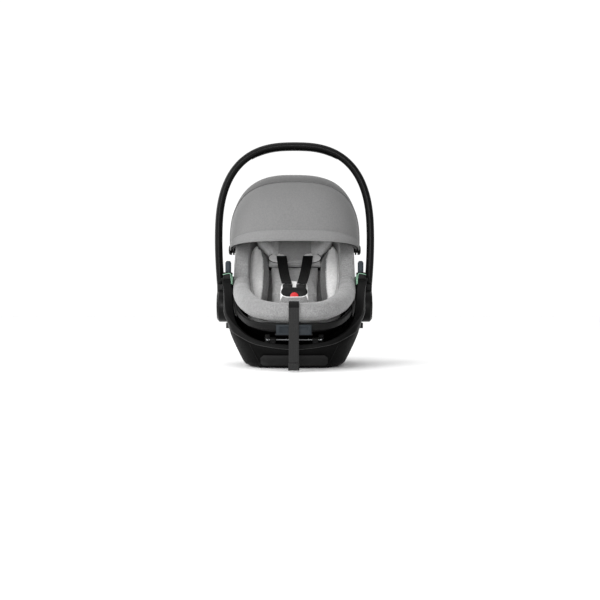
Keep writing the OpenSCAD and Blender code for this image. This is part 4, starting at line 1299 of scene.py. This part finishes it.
def front_radius(t, f):
    """The front cloth dips between its bows, with faint pulls from the seam."""
    wave = math.sin(math.pi * min(max(front_share(f), 0), 1))
    pull = math.sin(math.radians(t * 7.5) + 0.8) * wave * (1 + 0.6 * math.sin(math.radians(t * 3)))
    return FRONT_R + 3.3 * front_share(f) - FRONT_DIP * wave - FRONT_PULL * pull


def front_half(t, f):
    return FRONT_HALF_W + 1.6 * front_share(f) - narrowing(t)


def rear_radius(t, f):
    """The rear cloth stands up as a dome, with a dip at each side of its middle seam."""
    k = (f - SEAM_FOLD) / (REAR_FOLD - SEAM_FOLD)
    high = float(smooth01((math.sin(math.radians(t)) - 0.3) / 0.6))
    dome = CANOPY_DOME * math.sin(math.pi * min(max(k, 0), 1)) ** 0.8 * (0.12 + 0.88 * high)
    dip = REAR_DIP * abs(math.sin(math.pi * k * 2)) ** 1.3 * math.sin(math.radians(t)) ** 0.5
    return CANOPY_R - 0.6 + dome - dip + 0.5 * math.sin(math.radians(t * 8)) * math.sin(math.pi * k)


def rear_half(t, f):
    return REAR_HALF_W - narrowing(t)


def blend_front(piece):
    blend_by_fold(piece, SEAM_FOLD, HEM_FOLD)


def blend_rear(piece):
    blend_by_fold(piece, REAR_FOLD - 8, SEAM_FOLD + 2)


def make_front_cloth():
    rows = canopy_rows(np.linspace(FRONT_FOLD + 0.2, SEAM_FOLD + 0.5, 44), front_radius, front_half)
    front = sheet_piece("canopy_front_cloth", rows, 1.6, MAT["canopy"])
    stands_for(front, "canopy_front_panel")
    blend_front(front)
    rows = canopy_rows(np.linspace(FRONT_FOLD, HEM_FOLD, 9), lambda t, f: front_radius(t, f) + 1.1,
                       lambda t, f: front_half(t, f) + 1.0)
    hem = sheet_piece("canopy_hem_band", rows, 1.2, MAT["canopy_hem"])
    blend_front(hem)
    roll = tube("canopy_edge_roll", canopy_rows([FRONT_FOLD], front_radius, front_half)[0], 1.7,
                MAT["canopy_hem"])
    blend_front(roll)


def make_rear_cloth():
    rows = canopy_rows(np.linspace(SEAM_FOLD - 1.0, REAR_FOLD, 60), rear_radius, rear_half)
    rear = sheet_piece("canopy_rear_cloth", rows, 1.6, MAT["canopy_rear"])
    stands_for(rear, "canopy_rear_panel")
    blend_rear(rear)


def make_canopy_trims():
    seam = canopy_rows([SEAM_FOLD], lambda t, f: CANOPY_R - 0.2, rear_half, 141)[0]
    placed(tube("canopy_seam_piping", seam, 1.5, MAT["canopy_rear"]), "canopy_middle")
    back = canopy_rows([REAR_FOLD], lambda t, f: CANOPY_R - 1.5, rear_half, 121)[0]
    placed(tube("canopy_back_hem", back, 2.6, MAT["canopy_rear"]), "seat")
    middle = canopy_rows([120], lambda t, f: rear_radius(t, f) + 0.2, rear_half, 121)[0]
    blend_rear(tube("canopy_gore_seam", middle, 1.1, MAT["canopy_rear"]))


PIN_PROFILE = [(146, 5.9), (146, 14), (147.5, 15.5), (166, 15.5), (168, 14), (168, 5.9), (180, 5.9)]
EAR_PROFILE = [(182.0, 9), (182.0, 13.4), (183.2, 14.6), (184.8, 14.2), (186.2, 12.6), (187.2, 9.5),
               (187.7, 5), (187.8, 0.5)]


def make_canopy_ears():
    """The covers over the canopy's pivots, and the pins behind them."""
    for name, side in SIDES:
        pin = turned(f"canopy_pin_{name}", side, PIN_PROFILE, CANOPY_Y, CANOPY_Z, MAT["inner"])
        ear = turned(f"canopy_ear_{name}", side, EAR_PROFILE, CANOPY_Y - 2, CANOPY_Z + 2, MAT["inner"],
                     flat=(1.15, 0.92))
        placed(ear, "seat")
        placed(pin, "seat", *(["canopy_pivots"] if side < 0 else []))


make_canopy_ears()
make_front_cloth()
make_rear_cloth()
make_canopy_trims()


# ---- Floor, light and the end ----


GLOW_FROM = (-0.78, -0.5, 0.37)       # the studio's bright side
WALL_LIGHT = 1.06                     # the even light of its rear wall
# Area lights: name, place, size and power
LIGHTS = (("key", (-1.7, -2.5, 1.4), 1.2, 40), ("fill", (-0.25, -3.25, 0.14), 0.9, 66),
          ("top", (-0.2, 0.3, 3.0), 2.4, 16), ("rim_left", (-2.3, 0.8, 1.3), 1.4, 12))
LIT_POINT = (0, 0, 0.25)
FLOOR_HALF = 9000


def make_studio():
    """A studio wrapped round the seat: white behind it, bright from the front left, dimmer on the right."""
    world = bpy.data.worlds.new("studio")
    world.use_nodes = True
    tree = world.node_tree
    way = tree.nodes.new("ShaderNodeTexCoord").outputs["Generated"]
    glow = tree.nodes.new("ShaderNodeVectorMath")
    glow.operation = "DOT_PRODUCT"
    glow.inputs[1].default_value = GLOW_FROM
    tree.links.new(way, glow.inputs[0])
    split = tree.nodes.new("ShaderNodeSeparateXYZ")
    tree.links.new(way, split.inputs[0])
    strengths = []
    for source, low, high, dim, bright in ((glow.outputs["Value"], -0.65, 0.85, 0.3, 1.45),
                                           (split.outputs["Y"], 0.5, 0.88, 0.0, 1.0)):
        level = tree.nodes.new("ShaderNodeMapRange")
        level.interpolation_type = "SMOOTHSTEP"
        for name, value in (("From Min", low), ("From Max", high), ("To Min", dim), ("To Max", bright)):
            level.inputs[name].default_value = value
        tree.links.new(source, level.inputs["Value"])
        strengths.append(level.outputs["Result"])
    mix = tree.nodes.new("ShaderNodeMix")
    tree.links.new(strengths[1], mix.inputs["Factor"])
    tree.links.new(strengths[0], mix.inputs["A"])
    mix.inputs["B"].default_value = WALL_LIGHT
    tree.links.new(mix.outputs["Result"], tree.nodes["Background"].inputs["Strength"])
    tree.nodes["Background"].inputs["Color"].default_value = (1, 1, 1, 1)
    return world


def make_stage():
    paint = Paint("pale_floor", Roughness=0.8, Specular_IOR_Level=0.1)
    paint.link(paint.ramp(paint.noise(3.0, 3.0), 0.3, 0.7, grey(0.955), grey(0.965)), "Base Color")
    corners = [(x * FLOOR_HALF, y * FLOOR_HALF, 0) for x, y in ((-1, -1), (1, -1), (1, 1), (-1, 1))]
    floor = new_piece("floor", corners, [(0, 1, 2, 3)], paint.material)
    scene.world = make_studio()
    for name, place, size, power in LIGHTS:
        data = bpy.data.lights.new(name, "AREA")
        data.size = size
        data.energy = power
        light = bpy.data.objects.new(name, data)
        light.location = place
        light.rotation_euler = (Vector(LIT_POINT) - Vector(place)).to_track_quat("-Z", "Y").to_euler()
        scene.collection.objects.link(light)
    scene.view_settings.view_transform = "Standard"


make_stage()
